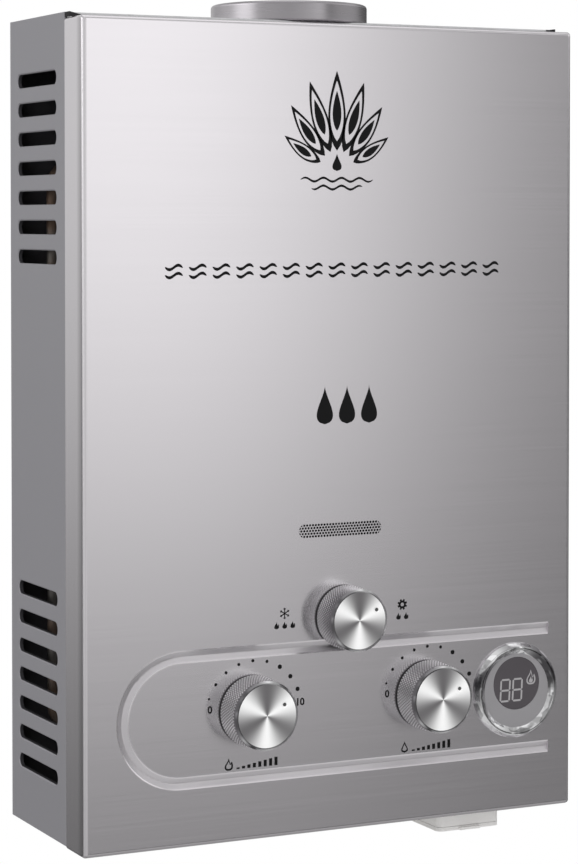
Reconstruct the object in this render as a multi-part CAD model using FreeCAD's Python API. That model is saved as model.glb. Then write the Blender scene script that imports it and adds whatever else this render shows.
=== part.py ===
import FreeCAD, Part
import math
import os
from FreeCAD import Vector as V

# Wall-hung instantaneous gas water heater, millimetres.
# Origin: the middle of the four wall-screw holes, on the wall. +Z up, the front faces -Y.

# ------------------------------------------------------------------ driving dimensions
# Rear case: folded steel back and sides, closed by a top and a bottom panel
CASE_W = 406.0
CASE_H = 602.0
CASE_D = 116.0            # wall to the joint with the front cover
CASE_T = 1.0
CASE_BEND = 3.0
LIP = 9.0                 # joggled edge that the front cover slides over
LIP_GAP = 0.2
PANEL_FLANGE = 18.0       # top and bottom panels' flanges on the back sheet
SCREW_SIDE = 63.0         # wall screws, in from the case's sides
SCREW_END = 61.0          # wall screws, in from its top and bottom
SCREW_HOLE_R = 4.0
HANGER_END = 16.0         # hangers, out beyond the screws
HANGER_H = 40.0
HANGER_T = 1.5
HANGER_D = 7.0            # its edges, forward of the back sheet

# Side louvres: two groups on each side, slots with plunged rims
LOUVRE_L = 81.0
LOUVRE_H = 10.0
LOUVRE_PITCH = 21.8
LOUVRE_COUNT = 7
LOUVRE_START = 124.5      # first slot of each group, from the middle of the case
LOUVRE_RIM = 2.5
LOUVRE_CHAMFER = 0.9

# Air slots in the bottom panel
AIR_SLOT_L = 34.0
AIR_SLOT_W = 5.0
AIR_SLOT_PITCH = 11.0
AIR_SLOT_COUNT = 4

# Front cover: a stainless tray with folded flanges
COVER_D = 34.0
COVER_T = 0.8
COVER_BEND = 3.5
COVER_CORNER = 2.5
COVER_SILL = 2.0          # the cover reaches this far below the case
COVER_STEP = 4.0          # the case stands this far above the cover

# Pressed trim line on the cover: a D open to the right
TRIM_W = 9.5
TRIM_DEPTH = 2.3
TRIM_ROUND = 1.8
TRIM_RISE = 92.0          # between its upper and lower lines
TRIM_UP = 93.0            # its middle above the cover's lower edge
TRIM_LEFT_IN = 76.0       # centre of the half circle, in from the cover's left edge
TRIM_RIGHT_IN = 20.0      # ends of the two lines, in from its right edge

# Sight window of the burner, with its perforated screen
SIGHT_X = 2.0
SIGHT_UP = 225.0
SIGHT_L = 68.6
SIGHT_H = 10.7
SCREEN_FLANGE = 4.0
SCREEN_T = 0.6

# Control knobs
KNOB_UP = 96.0            # gas and water knobs above the cover's lower edge
WATER_TO_DISPLAY = 78.0   # water knob to the display, centre to centre
GAS_TO_WATER = 146.0
KNOB_R = 25.8
KNOB_FACE_R = 24.0
KNOB_H = 26.0
SEASON_TO_WATER = 70.0    # sideways
SEASON_UP = 160.0
SEASON_R = 23.3
SEASON_FACE_R = 22.0
SEASON_H = 25.0
KNOB_WALL = 2.2
KNOB_CHAMFER = 1.2
KNOB_GAP = 0.8            # between the knob's rim and the cover
CAP_T = 1.2
CAP_EDGE = 0.9            # polished ring left round the cap
INDEX_R = 2.3
INDEX_OUT = 15.8          # index mark from the knob's axis
INDEX_ANGLE = 27.0        # at rest, above the right-hand horizontal
HUB_R = 7.0
HUB_BACK = 4.0            # hub's end, forward of the knob's rim
SPINDLE_R = 4.0
SPINDLE_HOLE_PLAY = 3.0   # round the spindles in the cover
SPINDLE_END_GAP = 0.3
SPINDLE_FLAT = 3.0        # axis to the flat
SPINDLE_GRIP = 14.0       # length inside the knob
SPINDLE_FIT = 0.05
SPINDLE_BURIED = 30.0     # length inside the valve's boss

# Temperature display
DISPLAY_IN = 50.0         # in from the cover's right edge
DISPLAY_UP = 93.0
BEZEL_R = 36.7
BEZEL_H = 5.5
BEZEL_RIM = 1.5           # height of its outer edge
BEZEL_CREST_R = 33.0
BEZEL_CREST_W = 1.6
BEZEL_IN_R = 28.4
BEZEL_LIP = 1.2           # thickness of the lip over the rebate
FACE_SINK = 3.0           # dial face below the bezel's crest
LENS_R = 20.3
LENS_RISE = 5.5           # lens above the middle of the dial
LENS_T = 1.0
HOUSING_R = 29.9
HOUSING_D = 22.0
HOUSING_WALL = 1.6
BOARD_T = 1.6
MODULE_W = 28.0           # digit module behind the lens
MODULE_H = 18.0

# Flue collar
COLLAR_R = 60.0
COLLAR_H = 15.0
COLLAR_T = 1.0
COLLAR_FOOT = 12.0        # width of the ring that lies on the top panel
COLLAR_LIP = 4.0          # width of the rim turned in at the top
COLLAR_ROLL = 2.5
COLLAR_WALL_GAP = 2.5
FLUE_X = 2.0              # flue's axis, right of the case's middle

# Hot side: burner, chamber, exchanger and draught hood, one above the other
HOT_SIDE_GAP = 52.0       # free width beside it, for the pipes
HOT_D = 90.0
HOT_CORNER = 8.0
HOT_T = 0.8
HOOD_TOP_GAP = 12.0       # start of the hood's round neck below the top panel
HOOD_NECK_GAP = 0.4       # between that neck and the hole
HOOD_H = 84.0             # exchanger up to the top panel
EXCHANGER_H = 50.0
CHAMBER_H = 156.0
BURNER_H = 70.0
FIN_COUNT = 14
FIN_T = 0.8
FIN_PITCH = 19.5
TUBE_R = 8.0
TUBE_T = 0.8
TUBE_PITCH = 26.0
BLADE_COUNT = 10
BLADE_PITCH = 27.0
BLADE_W = 13.0
BLADE_D = 76.0
BLADE_H = 52.0
BLADE_WAIST = (20.0, 30.0, 42.0)   # its start, narrowest place and end, above the bar's foot
BLADE_LEDGE = 8.0         # width of the ledges that the bars stand on
THROAT_R = 5.5
BRACKET_H = 60.0
BRACKET_W = 240.0
BRACKET_FOOT = 14.0
ELECTRODE_R = 3.4
ELECTRODE_X = (-24.0, 24.0)
ELECTRODE_UP = 12.0       # above the chamber's lower edge
THERMOSTAT_X = 60.0

# Gas train
MANIFOLD_H = 22.0
MANIFOLD_D = 18.0
MANIFOLD_T = 1.5
NOZZLE_R = 3.5
NOZZLE_L = 9.0
JET_R = 0.8
VALVE_W = 56.0
VALVE_D = 50.0
VALVE_H = 60.0
VALVE_EDGE = 5.0
BOSS_R = 14.0
BOSS_FRONT = 22.0         # valve bosses end this far behind the cover's face
PORT_R = 11.0
PORT_DROP = 16.0          # inlet ports below the valves' blocks
SOLENOID_R = 15.0
SOLENOID_L = 46.0
SEASON_W = 44.0
SEASON_D = 36.0
SEASON_BLOCK_H = 34.0
FEED_OUT = 12.0           # manifold's feeds, either side of the season valve
GAS_PIPE_R = 6.0

# Water side
DIAPHRAGM_R = 31.0
DIAPHRAGM_T = 15.0
DIAPHRAGM_OUT = 29.0      # joint between the valve's two halves, from its column
COLUMN_R = 15.0
WATER_PIPE_R = 7.0
PIPE_T = 1.0
PIPE_BEND = 14.0
COLD_TURN = 40.0          # cold pipe's turn above the water valve
HOT_KNEE = 80.0           # hot pipe's last bends above the case's bottom
HOT_FOOT = 46.0
RISER_IN = 24.0           # cold and hot risers, in from the case's inner side
DRAIN_R = 6.0
DRAIN_OUT = 14.0          # end of the tap behind the valve's column
DRAIN_UP = 14.0           # tap above the inlet port
DRAIN_L = 14.0
ROD_R = 2.5
ROD_FIT = 0.05
ROD_COLLAR_R = 5.0
ROD_COLLAR_W = 4.0
ROD_COLLAR_OUT = 12.0     # from the diaphragm housing
ROD_TRAVEL = 4.0
STRAP_W = 24.0
STRAP_T = 2.0
STRAP_RISE = 22.0         # strap above the push rod
STRAP_FOOT = 12.0

# Connections under the case: G 1/2 male threads
THREAD_R = 10.48
THREAD_L = 16.0
FITTING_BORE = 7.0
HEX_AF = 27.0
HEX_H = 4.0
HOT_IN = 53.0             # hot outlet, in from the case's left side

# Battery box, for two upright D cells one behind the other
BATTERY_IN = 69.0         # in from the case's right side
BATTERY_W = 55.0
BATTERY_D = 76.0
BATTERY_CORNER = 5.0
BATTERY_FRONT = 37.0      # its front wall behind the cover's face
BATTERY_DROP = 19.2       # the box below the case's bottom
BATTERY_TOP = 52.0        # the box above the case's bottom
CELL_R = 17.4
CELL_BAY_D = 69.0
LID_T = 3.0
LID_GAP = 0.3
LID_PIN_R = 1.2
LID_EAR_R = 3.0
LID_EAR_W = 6.0
LID_EAR_ROOT = 8.0        # height of the ears' roots on the box's back wall
LID_PIN_FIT = 0.05

# Igniter box
IGNITER_W = 84.0
IGNITER_H = 52.0
IGNITER_D = 26.0
IGNITER_IN = 65.0         # in from the case's right side

# ------------------------------------------------------------------ derived places
half_w = CASE_W / 2
screw_span_x = CASE_W - 2 * SCREW_SIDE
screw_span_z = CASE_H - 2 * SCREW_END
top_z = CASE_H / 2
bottom_z = -CASE_H / 2
front_y = -(CASE_D + COVER_D)
cover_low = bottom_z - COVER_SILL
cover_high = top_z - COVER_STEP
lip_x = half_w - COVER_T - LIP_GAP
lip_high = cover_high - COVER_T - LIP_GAP
lip_low = cover_low + COVER_T + LIP_GAP
lip_y = -(CASE_D + LIP)
mid_y = -CASE_D / 2
hot_w = CASE_W - 2 * (CASE_T + HOT_SIDE_GAP)
hot_back = mid_y + HOT_D / 2
hot_front = mid_y - HOT_D / 2
exchanger_top = top_z - CASE_T - HOOD_H
exchanger_low = exchanger_top - EXCHANGER_H
chamber_low = exchanger_low - CHAMBER_H
burner_low = chamber_low - BURNER_H
knob_z = cover_low + KNOB_UP
season_z = cover_low + SEASON_UP
display_x = half_w - DISPLAY_IN
water_x = display_x - WATER_TO_DISPLAY
gas_x = water_x - GAS_TO_WATER
season_x = water_x - SEASON_TO_WATER
diaphragm_x = water_x - DIAPHRAGM_OUT
rod_collar_x = diaphragm_x - DIAPHRAGM_T - ROD_COLLAR_OUT
display_z = cover_low + DISPLAY_UP
trim_z = cover_low + TRIM_UP
trim_left = -half_w + TRIM_LEFT_IN
trim_right = half_w - TRIM_RIGHT_IN
sight_z = cover_low + SIGHT_UP
collar_y = -(COLLAR_R + COLLAR_WALL_GAP)
flue_hole_r = COLLAR_R - COLLAR_FOOT
hood_neck_r = flue_hole_r - HOOD_NECK_GAP
boss_y = front_y + BOSS_FRONT
spindle_back = boss_y + SPINDLE_BURIED
manifold_z = burner_low + MANIFOLD_H / 2 + 4
manifold_y = hot_front - MANIFOLD_D
tube_z = exchanger_top - EXCHANGER_H / 2
riser_x = half_w - CASE_T - RISER_IN
hot_x = -half_w + HOT_IN
igniter_x = half_w - IGNITER_IN
hole_play = 0.6           # round the fittings in the bottom panel
valve_port_z = knob_z - VALVE_H / 2 - PORT_DROP
battery_x = half_w - BATTERY_IN
battery_low = bottom_z - BATTERY_DROP
battery_high = bottom_z + BATTERY_TOP
battery_y0 = front_y + BATTERY_FRONT
battery_y1 = battery_y0 + BATTERY_D
lid_axis_y = battery_y1 + LID_EAR_R + 0.5
lid_axis_z = battery_low - LID_GAP - LID_T / 2

X, Y, Z = V(1, 0, 0), V(0, 1, 0), V(0, 0, 1)
FRONT = V(0, -1, 0)


# ------------------------------------------------------------------ shop operations
def save(shape, node):
    """Write one piece, or one set of like pieces, as its own file."""
    shape.exportStep("parts/" + node + ".step")


def rod(radius, start, vector):
    return Part.makeCylinder(radius, vector.Length, start, vector)


def block(x0, x1, y0, y1, z0, z1, radius=0.0, along=Z):
    """Box between limits; edges along one axis can be rounded."""
    solid = Part.makeBox(x1 - x0, y1 - y0, z1 - z0, V(x0, y0, z0))
    if radius > 0:
        edges = [e for e in solid.Edges if abs(e.tangentAt(e.FirstParameter).dot(along)) > 0.99]
        solid = solid.makeFillet(radius, edges)
    return solid


def rounded_path(points, radii):
    """Polyline edges whose inner corners are tangent arcs of the given radii."""
    edges, start = [], points[0]
    for before, corner, after, r in zip(points, points[1:], points[2:], radii):
        a, b = (before - corner).normalize(), (after - corner).normalize()
        half = a.getAngle(b) / 2
        if r > 0 and abs(half - math.pi / 2) > 1e-6:
            p, q = corner + a * (r / math.tan(half)), corner + b * (r / math.tan(half))
            centre = corner + (a + b).normalize() * (r / math.sin(half))
            middle = centre + (corner - centre).normalize() * r
            if (p - start).Length > 1e-6:
                edges.append(Part.makeLine(start, p))
            edges.append(Part.Arc(p, middle, q).toShape())
            start = q
        else:
            edges.append(Part.makeLine(start, corner))
            start = corner
    if (points[-1] - start).Length > 1e-6:
        edges.append(Part.makeLine(start, points[-1]))
    return edges


def sheet_face(points, radii, thickness, normal):
    """Cross-section of a folded sheet. The sheet lies to the right of the path, with the
    normal pointing at the viewer; each bend keeps one thickness between its two radii."""
    runs = [(q - p).normalize() for p, q in zip(points, points[1:])]
    sides = [run.cross(normal) for run in runs]
    inner, inner_radii = [points[0] + sides[0] * thickness], []
    for corner, s1, s2, run, r in zip(points[1:-1], sides, sides[1:], runs[1:], radii):
        inner.append(corner + (s1 + s2) * (thickness / (1 + s1.dot(s2))))
        towards = s1.dot(run) > 0
        inner_radii.append(0.0 if r <= 0 else max(r - thickness, 0.0) if towards else r + thickness)
    inner.append(points[-1] + sides[-1] * thickness)
    edges = rounded_path(points, radii) + rounded_path(inner, inner_radii)
    edges += [Part.makeLine(points[0], inner[0]), Part.makeLine(points[-1], inner[-1])]
    return Part.Face(Part.Wire(Part.sortEdges(edges)[0]))


def folded(points, radii, thickness, run, centred=False):
    """Folded sheet of one cross-section, extruded along `run`."""
    face = sheet_face(points, radii, thickness, V(run).normalize())
    if centred:
        face.translate(run * -0.5)
    return face.extrude(run)


def turned(points, base, axis, radii=None):
    """Solid of revolution from (radius, height) pairs, about `axis` through `base`."""
    corners = [V(r, 0, h) for r, h in points]
    edges = rounded_path(corners, radii or [0.0] * (len(corners) - 2))
    edges.append(Part.makeLine(corners[-1], corners[0]))
    face = Part.Face(Part.Wire(Part.sortEdges(edges)[0]))
    solid = face.revolve(V(0, 0, 0), Z, 360)
    solid.Placement = FreeCAD.Placement(base, FreeCAD.Rotation(Z, axis))
    return solid


def pipe(points, bend, radius, wall):
    """Bent tube through `points`, all bends of one radius."""
    spine = Part.Wire(rounded_path(points, [bend] * (len(points) - 2)))
    skins = []
    for r in (radius, radius - wall):
        ring = Part.Wire(Part.makeCircle(r, points[0], points[1] - points[0]))
        skins.append(spine.makePipeShell([ring], True, True))
    return skins[0].cut(skins[1])


def obround_face(length, height, centre, normal, along):
    """Slot outline with round ends; `along` is the direction of its length."""
    across = normal.cross(along)
    a, b = along * ((length - height) / 2), across * (height / 2)
    tip = along * (length / 2)
    p = [centre - a + b, centre + a + b, centre + a - b, centre - a - b]
    edges = [Part.makeLine(p[0], p[1]), Part.Arc(p[1], centre + tip, p[2]).toShape(),
             Part.makeLine(p[2], p[3]), Part.Arc(p[3], centre - tip, p[0]).toShape()]
    return Part.Face(Part.Wire(edges))


def rounded_rect(width, depth, radius, centre):
    """Closed horizontal wire, a rectangle with round corners."""
    w, d = width / 2, depth / 2
    corners = [centre + V(0, -d, 0), centre + V(w, -d, 0), centre + V(w, d, 0),
               centre + V(-w, d, 0), centre + V(-w, -d, 0), centre + V(0, -d, 0)]
    return Part.Wire(rounded_path(corners, [radius] * 4))


def hexagon(across_flats, base, height):
    """Hexagon prism along +Z."""
    r = across_flats / math.sqrt(3)
    ring = [base + V(r * math.cos(math.radians(60 * i)), r * math.sin(math.radians(60 * i)), 0)
            for i in range(7)]
    return Part.Face(Part.makePolygon(ring)).extrude(Z * height)


def union(first, *others):
    return first.fuse(list(others)).removeSplitter()


def wall_screw_places():
    return [V(sx * screw_span_x / 2, 0, sz * screw_span_z / 2) for sx in (-1, 1) for sz in (-1, 1)]


# ------------------------------------------------------------------ rear case
def louvres():
    """Plunged rims and cutters of every side louvre. A rim turns inward round its slot, and
    the slot's mouth is chamfered where the sheet is drawn in."""
    rims, cuts = [], []
    for side in (-1, 1):
        face_x, inward = side * half_w, V(-side, 0, 0)
        deep = CASE_T + LOUVRE_RIM
        slot = obround_face(LOUVRE_L, LOUVRE_H, V(face_x, mid_y, 0), X, Y).extrude(inward * deep)
        rim = obround_face(LOUVRE_L + 2 * CASE_T, LOUVRE_H + 2 * CASE_T,
                           V(face_x - side * CASE_T / 2, mid_y, 0), X, Y)
        rim = rim.extrude(inward * (deep - CASE_T / 2))
        wide = obround_face(LOUVRE_L + 2 * LOUVRE_CHAMFER, LOUVRE_H + 2 * LOUVRE_CHAMFER,
                            V(face_x, mid_y, 0), X, Y)
        narrow = obround_face(LOUVRE_L, LOUVRE_H, V(face_x, mid_y, 0) + inward * LOUVRE_CHAMFER, X, Y)
        mouth = Part.makeLoft([wide.OuterWire, narrow.OuterWire], True, True)
        for group in (-1, 1):
            for i in range(LOUVRE_COUNT):
                up = V(0, 0, group * (LOUVRE_START + i * LOUVRE_PITCH))
                rims.append(rim.translated(up))
                cuts += [slot.translated(up), mouth.translated(up)]
    return rims, cuts


def case_wall(beyond=0.0):
    """Back and sides folded from one sheet, with a joggled lip along each front edge."""
    z = bottom_z - beyond
    left = [V(-lip_x, lip_y, z), V(-lip_x, -CASE_D, z), V(-half_w, -CASE_D, z), V(-half_w, 0, z)]
    right = [V(-p.x, p.y, p.z) for p in reversed(left)]
    return folded(left + right, [0, 0, CASE_BEND, CASE_BEND, 0, 0], CASE_T, Z * (CASE_H + 2 * beyond))


def rear_case():
    """The folded wall with its louvres and screw holes; its lips stop short of the panels."""
    rims, cuts = louvres()
    shell = case_wall().fuse(rims)
    for z0, z1 in ((lip_high - COVER_CORNER, top_z + 1), (bottom_z - 1, lip_low + COVER_CORNER + CASE_T)):
        cuts.append(block(-half_w - 1, half_w + 1, lip_y - 1, -CASE_D, z0, z1))
    for place in wall_screw_places():
        cuts.append(rod(SCREW_HOLE_R, place + Y, Y * -(CASE_T + 2)))
    return shell.cut(cuts).removeSplitter()


def panel(points, bends, facing):
    """Top (-1) or bottom (1) panel: the path is its outer side, folded across the case and
    trimmed to the inside of the case's wall."""
    sheet = folded(points, bends, CASE_T, X * (2 * (half_w - CASE_T)) * facing, centred=True)
    return sheet.cut(case_wall(beyond=10))


def top_panel():
    path = [V(0, -CASE_T, top_z - PANEL_FLANGE), V(0, -CASE_T, top_z), V(0, -CASE_D, top_z),
            V(0, -CASE_D, lip_high), V(0, lip_y, lip_high)]
    sheet = panel(path, [2.0, 1.5, 0], -1)
    return sheet.cut(rod(flue_hole_r, V(FLUE_X, collar_y, top_z + 1), Z * -(CASE_T + 3)))


def bottom_panel():
    path = [V(0, -CASE_T, bottom_z + PANEL_FLANGE), V(0, -CASE_T, bottom_z), V(0, -CASE_D, bottom_z),
            V(0, -CASE_D, lip_low), V(0, lip_y, lip_low)]
    sheet = panel(path, [2.0, 0, 0], 1)
    cuts = [rod(THREAD_R + hole_play, V(x, mid_y, bottom_z - 1), Z * (CASE_T + 2))
            for x in (hot_x, gas_x, water_x)]
    bay = battery_section(BATTERY_W + 0.4, BATTERY_D + 0.4, BATTERY_CORNER, bottom_z - 1)
    cuts.append(bay.extrude(Z * (CASE_T + 2)))
    slot = obround_face(AIR_SLOT_L, AIR_SLOT_W, V(0, mid_y, bottom_z - 1), Z, Y)
    slot = slot.extrude(Z * (CASE_T + 2))
    for centre_x in ((hot_x + gas_x) / 2, (gas_x + water_x) / 2):
        for i in range(AIR_SLOT_COUNT):
            x = centre_x + (i - (AIR_SLOT_COUNT - 1) / 2) * AIR_SLOT_PITCH
            cuts.append(slot.translated(V(x, 0, 0)))
    return sheet.cut(cuts)


def hanger(z):
    """Channel inside the back sheet that the wall screws bear on; its edges turn forward."""
    edge = -CASE_T - HANGER_D
    path = [V(0, edge, z - HANGER_H / 2), V(0, -CASE_T, z - HANGER_H / 2),
            V(0, -CASE_T, z + HANGER_H / 2), V(0, edge, z + HANGER_H / 2)]
    bar = folded(path, [2.5, 2.5], HANGER_T, X * -(screw_span_x + 2 * HANGER_END), centred=True)
    holes = [rod(SCREW_HOLE_R, p, Y * -20) for p in wall_screw_places()]
    return bar.cut(holes)


# ------------------------------------------------------------------ front cover
def trim_profile(centre, across, grow):
    """Rounded V of the pressed line; `grow` makes it one sheet thickness larger."""
    w, d = TRIM_W / 2 + grow, TRIM_DEPTH + grow
    y = front_y
    path = [centre + across * -w + V(0, y, 0), centre + V(0, y + d, 0), centre + across * w + V(0, y, 0)]
    edges = rounded_path(path, [TRIM_ROUND + grow])
    edges.append(Part.makeLine(path[2], path[0]))
    return Part.Face(Part.Wire(edges))


def trim_line(grow, close):
    """The whole pressed line: two straight runs joined by a half circle on the left. `close`
    lengthens the runs for the end walls."""
    run = X * (trim_right + close - trim_left)
    solids = []
    for end in (-1, 1):
        centre = V(trim_left, 0, trim_z + end * TRIM_RISE / 2)
        solids.append(trim_profile(centre, Z, grow).extrude(run))
    bow = trim_profile(V(trim_left, 0, trim_z + TRIM_RISE / 2), Z, grow)
    solids.append(bow.revolve(V(trim_left, 0, trim_z), FRONT, 180))
    return union(*solids)


def front_cover():
    """Stainless tray: outer form less inner form, with the trim line pressed into its face and
    openings for the sight window, the spindles and the display."""
    def tray(inset, bend, corner, back):
        solid = block(-half_w + inset, half_w - inset, front_y + inset, back, cover_low + inset,
                      cover_high - inset, corner, Y)
        rim = [e for e in solid.Edges if max(v.Y for v in e.Vertexes) < front_y + inset + 0.01]
        return solid.makeFillet(bend, rim)
    outer = tray(0, COVER_BEND, COVER_CORNER, -CASE_D)
    inner = tray(COVER_T, COVER_BEND - COVER_T, COVER_CORNER - COVER_T, -CASE_D + 5)
    cover = outer.cut(inner)
    cover = cover.fuse(trim_line(COVER_T, COVER_T)).cut(trim_line(0, 0))
    through = Y * (COVER_T + 2)
    cuts = [rod(SPINDLE_R + SPINDLE_HOLE_PLAY, V(x, front_y - 1, z), through)
            for x, z in ((gas_x, knob_z), (water_x, knob_z), (season_x, season_z))]
    cuts.append(rod(HOUSING_R + 0.3, V(display_x, front_y - 1, display_z), through))
    sight = obround_face(SIGHT_L, SIGHT_H, V(SIGHT_X, front_y - 1, sight_z), Y, X)
    cuts.append(sight.extrude(through))
    return cover.cut(cuts)


def sight_screen():
    """Screen of the sight window: flush with the cover's face, held by a flange behind it."""
    centre = V(SIGHT_X, front_y, sight_z)
    pad = obround_face(SIGHT_L - 0.1, SIGHT_H - 0.1, centre, Y, X).extrude(Y * COVER_T)
    flange = obround_face(SIGHT_L + 2 * SCREEN_FLANGE, SIGHT_H + 2 * SCREEN_FLANGE,
                          centre + Y * COVER_T, Y, X).extrude(Y * SCREEN_T)
    return union(pad, flange)


# ------------------------------------------------------------------ knobs and spindles
def d_shaft(play, start, length, x, z):
    """Round shaft with a flat on its top side."""
    shaft = rod(SPINDLE_R + play, V(x, start, z), Y * length)
    flat = block(x - 10, x + 10, start - 1, start + length + 1, z + SPINDLE_FLAT + play, z + 10)
    return shaft.cut(flat)


def knob(x, z, base_r, face_r, height):
    """Hollow turned knob, slightly conical, with a hub for the spindle and a seat for its cap."""
    rim_y = front_y - KNOB_GAP
    seat = height - CAP_T
    cap_r = face_r - CAP_EDGE
    profile = [(cap_r, height), (face_r, height), (face_r + KNOB_CHAMFER, height - KNOB_CHAMFER),
               (base_r, 1.5), (base_r - 0.6, 0), (base_r - KNOB_WALL, 0),
               (face_r + KNOB_CHAMFER - KNOB_WALL, seat - KNOB_WALL), (HUB_R, seat - KNOB_WALL),
               (HUB_R, HUB_BACK), (0, HUB_BACK), (0, seat), (cap_r, seat)]
    body = turned(profile, V(x, rim_y, z), FRONT)
    return body.cut(d_shaft(SPINDLE_FIT, rim_y - HUB_BACK - SPINDLE_GRIP, SPINDLE_GRIP + 5, x, z))


def knob_cap(x, z, face_r, height):
    """Spun disc in the knob's face, with a shallow index dimple."""
    face_y = front_y - KNOB_GAP - height
    disc = rod(face_r - CAP_EDGE - 0.05, V(x, face_y + CAP_T, z), FRONT * CAP_T)
    a = math.radians(INDEX_ANGLE)
    dome = INDEX_R * 1.3
    centre = V(x + INDEX_OUT * math.cos(a), face_y - math.sqrt(dome ** 2 - INDEX_R ** 2),
               z + INDEX_OUT * math.sin(a))
    return disc.cut(Part.makeSphere(dome, centre))


def spindle(x, z):
    """Shaft from the valve's boss, through the cover, into the knob."""
    tip = front_y - KNOB_GAP - HUB_BACK - SPINDLE_GRIP + SPINDLE_END_GAP
    flat = d_shaft(0, tip, SPINDLE_GRIP, x, z)
    return union(flat, rod(SPINDLE_R, V(x, tip + SPINDLE_GRIP, z),
                           Y * (spindle_back - tip - SPINDLE_GRIP)))


def boss_bore(x, z):
    """Blind bore in a valve's boss that the spindle turns in."""
    return rod(SPINDLE_R + SPINDLE_FIT, V(x, front_y, z), Y * (spindle_back + SPINDLE_END_GAP - front_y))


# ------------------------------------------------------------------ temperature display
def display_bezel():
    """Polished ring on the cover's face: a round crest that slopes away on both sides, with a
    rebate behind for the dial face."""
    depth = BEZEL_H - FACE_SINK
    rebate = depth - BEZEL_LIP
    crest_in, crest_out = BEZEL_CREST_R - BEZEL_CREST_W / 2, BEZEL_CREST_R + BEZEL_CREST_W / 2
    return turned([(BEZEL_IN_R, rebate), (BEZEL_IN_R, depth), (crest_in, BEZEL_H),
                   (crest_out, BEZEL_H), (BEZEL_R, BEZEL_RIM), (BEZEL_R, 0),
                   (HOUSING_R, 0), (HOUSING_R, rebate)],
                  V(display_x, front_y, display_z), FRONT, [0, 0.5, 1.6, 1.6, 0.6, 0])


def display_face():
    """Grey dial face with a round recess for the lens."""
    depth = BEZEL_H - FACE_SINK
    face = rod(BEZEL_IN_R - 0.05, V(display_x, front_y, display_z), FRONT * depth)
    lens = rod(LENS_R + 0.05, V(display_x, front_y - depth - 1, display_z + LENS_RISE),
               Y * (LENS_T + 1))
    return face.cut(lens)


def display_lens():
    """Smoked lens over the digits."""
    depth = BEZEL_H - FACE_SINK
    lens = rod(LENS_R, V(display_x, front_y - depth + LENS_T, display_z + LENS_RISE), FRONT * LENS_T)
    rim = [e for e in lens.Edges if e.BoundBox.YLength < 0.01 and e.BoundBox.YMin < front_y - depth + 0.1]
    return lens.makeChamfer(0.3, rim)


def display_housing():
    """Cup behind the cover that carries the board; its mouth backs the dial face."""
    return turned([(0, 0), (HOUSING_R - 0.3, 0), (HOUSING_R - 0.3, HOUSING_D),
                   (HOUSING_R - HOUSING_WALL, HOUSING_D), (HOUSING_R - HOUSING_WALL, HOUSING_WALL),
                   (0, HOUSING_WALL)], V(display_x, front_y + HOUSING_D, display_z), FRONT)


def display_board():
    """Round circuit board on the housing's floor, with the digit module on it."""
    floor_y = front_y + HOUSING_D - HOUSING_WALL
    board = rod(HOUSING_R - HOUSING_WALL - 0.4, V(display_x, floor_y, display_z), FRONT * BOARD_T)
    lens_z = display_z + LENS_RISE
    module = block(display_x - MODULE_W / 2, display_x + MODULE_W / 2, front_y + 0.5, floor_y - BOARD_T,
                   lens_z - MODULE_H / 2, lens_z + MODULE_H / 2)
    return union(board, module)


# ------------------------------------------------------------------ flue collar and hot side
def flue_collar():
    """Spun spigot for the flue pipe: a foot ring on the top panel and a rim turned in."""
    path = [V(flue_hole_r, 0, 0), V(COLLAR_R, 0, 0), V(COLLAR_R, 0, COLLAR_H),
            V(COLLAR_R - COLLAR_LIP, 0, COLLAR_H)]
    face = sheet_face(path, [1.5 * COLLAR_T, COLLAR_ROLL], COLLAR_T, Y)
    ring = face.revolve(V(0, 0, 0), Z, 360)
    return ring.translated(V(FLUE_X, collar_y, top_z))


def box_tube(z0, z1, width, depth, wall):
    """Upright rectangular duct with round corners."""
    outer = Part.Face(rounded_rect(width, depth, HOT_CORNER, V(0, mid_y, z0)))
    inner = Part.Face(rounded_rect(width - 2 * wall, depth - 2 * wall, HOT_CORNER - wall,
                                   V(0, mid_y, z0)))
    return outer.cut(inner).extrude(Z * (z1 - z0))


def draught_hood():
    """Hood that draws the exchanger's rectangle up to the flue's round neck."""
    shoulder = top_z - CASE_T - HOOD_TOP_GAP

    def skin(inset):
        r = hood_neck_r - inset
        low = rounded_rect(hot_w - 2 * inset, HOT_D - 2 * inset, HOT_CORNER - inset,
                           V(0, mid_y, exchanger_top))
        high = rounded_rect(2 * r, 2 * r, r - 0.5, V(FLUE_X, collar_y, shoulder))
        cone = Part.makeLoft([low, high], True, True)
        neck = Part.Face(high).extrude(Z * (top_z + 2 - shoulder))
        return cone.fuse(neck)
    return skin(0).cut(skin(HOT_T))


def tube_rows():
    """Y of each pass of the exchanger tube, front to back."""
    return [mid_y + TUBE_PITCH * i for i in (-1, 0, 1)]


def tube_bores(radius, half_length):
    return [rod(radius, V(-half_length, y, tube_z), X * (2 * half_length)) for y in tube_rows()]


def exchanger_shell():
    shell = box_tube(exchanger_low, exchanger_top, hot_w, HOT_D, HOT_T)
    return shell.cut(tube_bores(TUBE_R + 0.1, hot_w / 2 + 5))


def exchanger_fins():
    """Stack of copper fins on the tube."""
    fins = []
    for i in range(FIN_COUNT):
        x = (i - (FIN_COUNT - 1) / 2) * FIN_PITCH
        fins.append(block(x - FIN_T / 2, x + FIN_T / 2, hot_front + HOT_T, hot_back - HOT_T,
                          exchanger_low + 4, exchanger_top - 4))
    return Part.makeCompound(fins).cut(tube_bores(TUBE_R, hot_w / 2))


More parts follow.
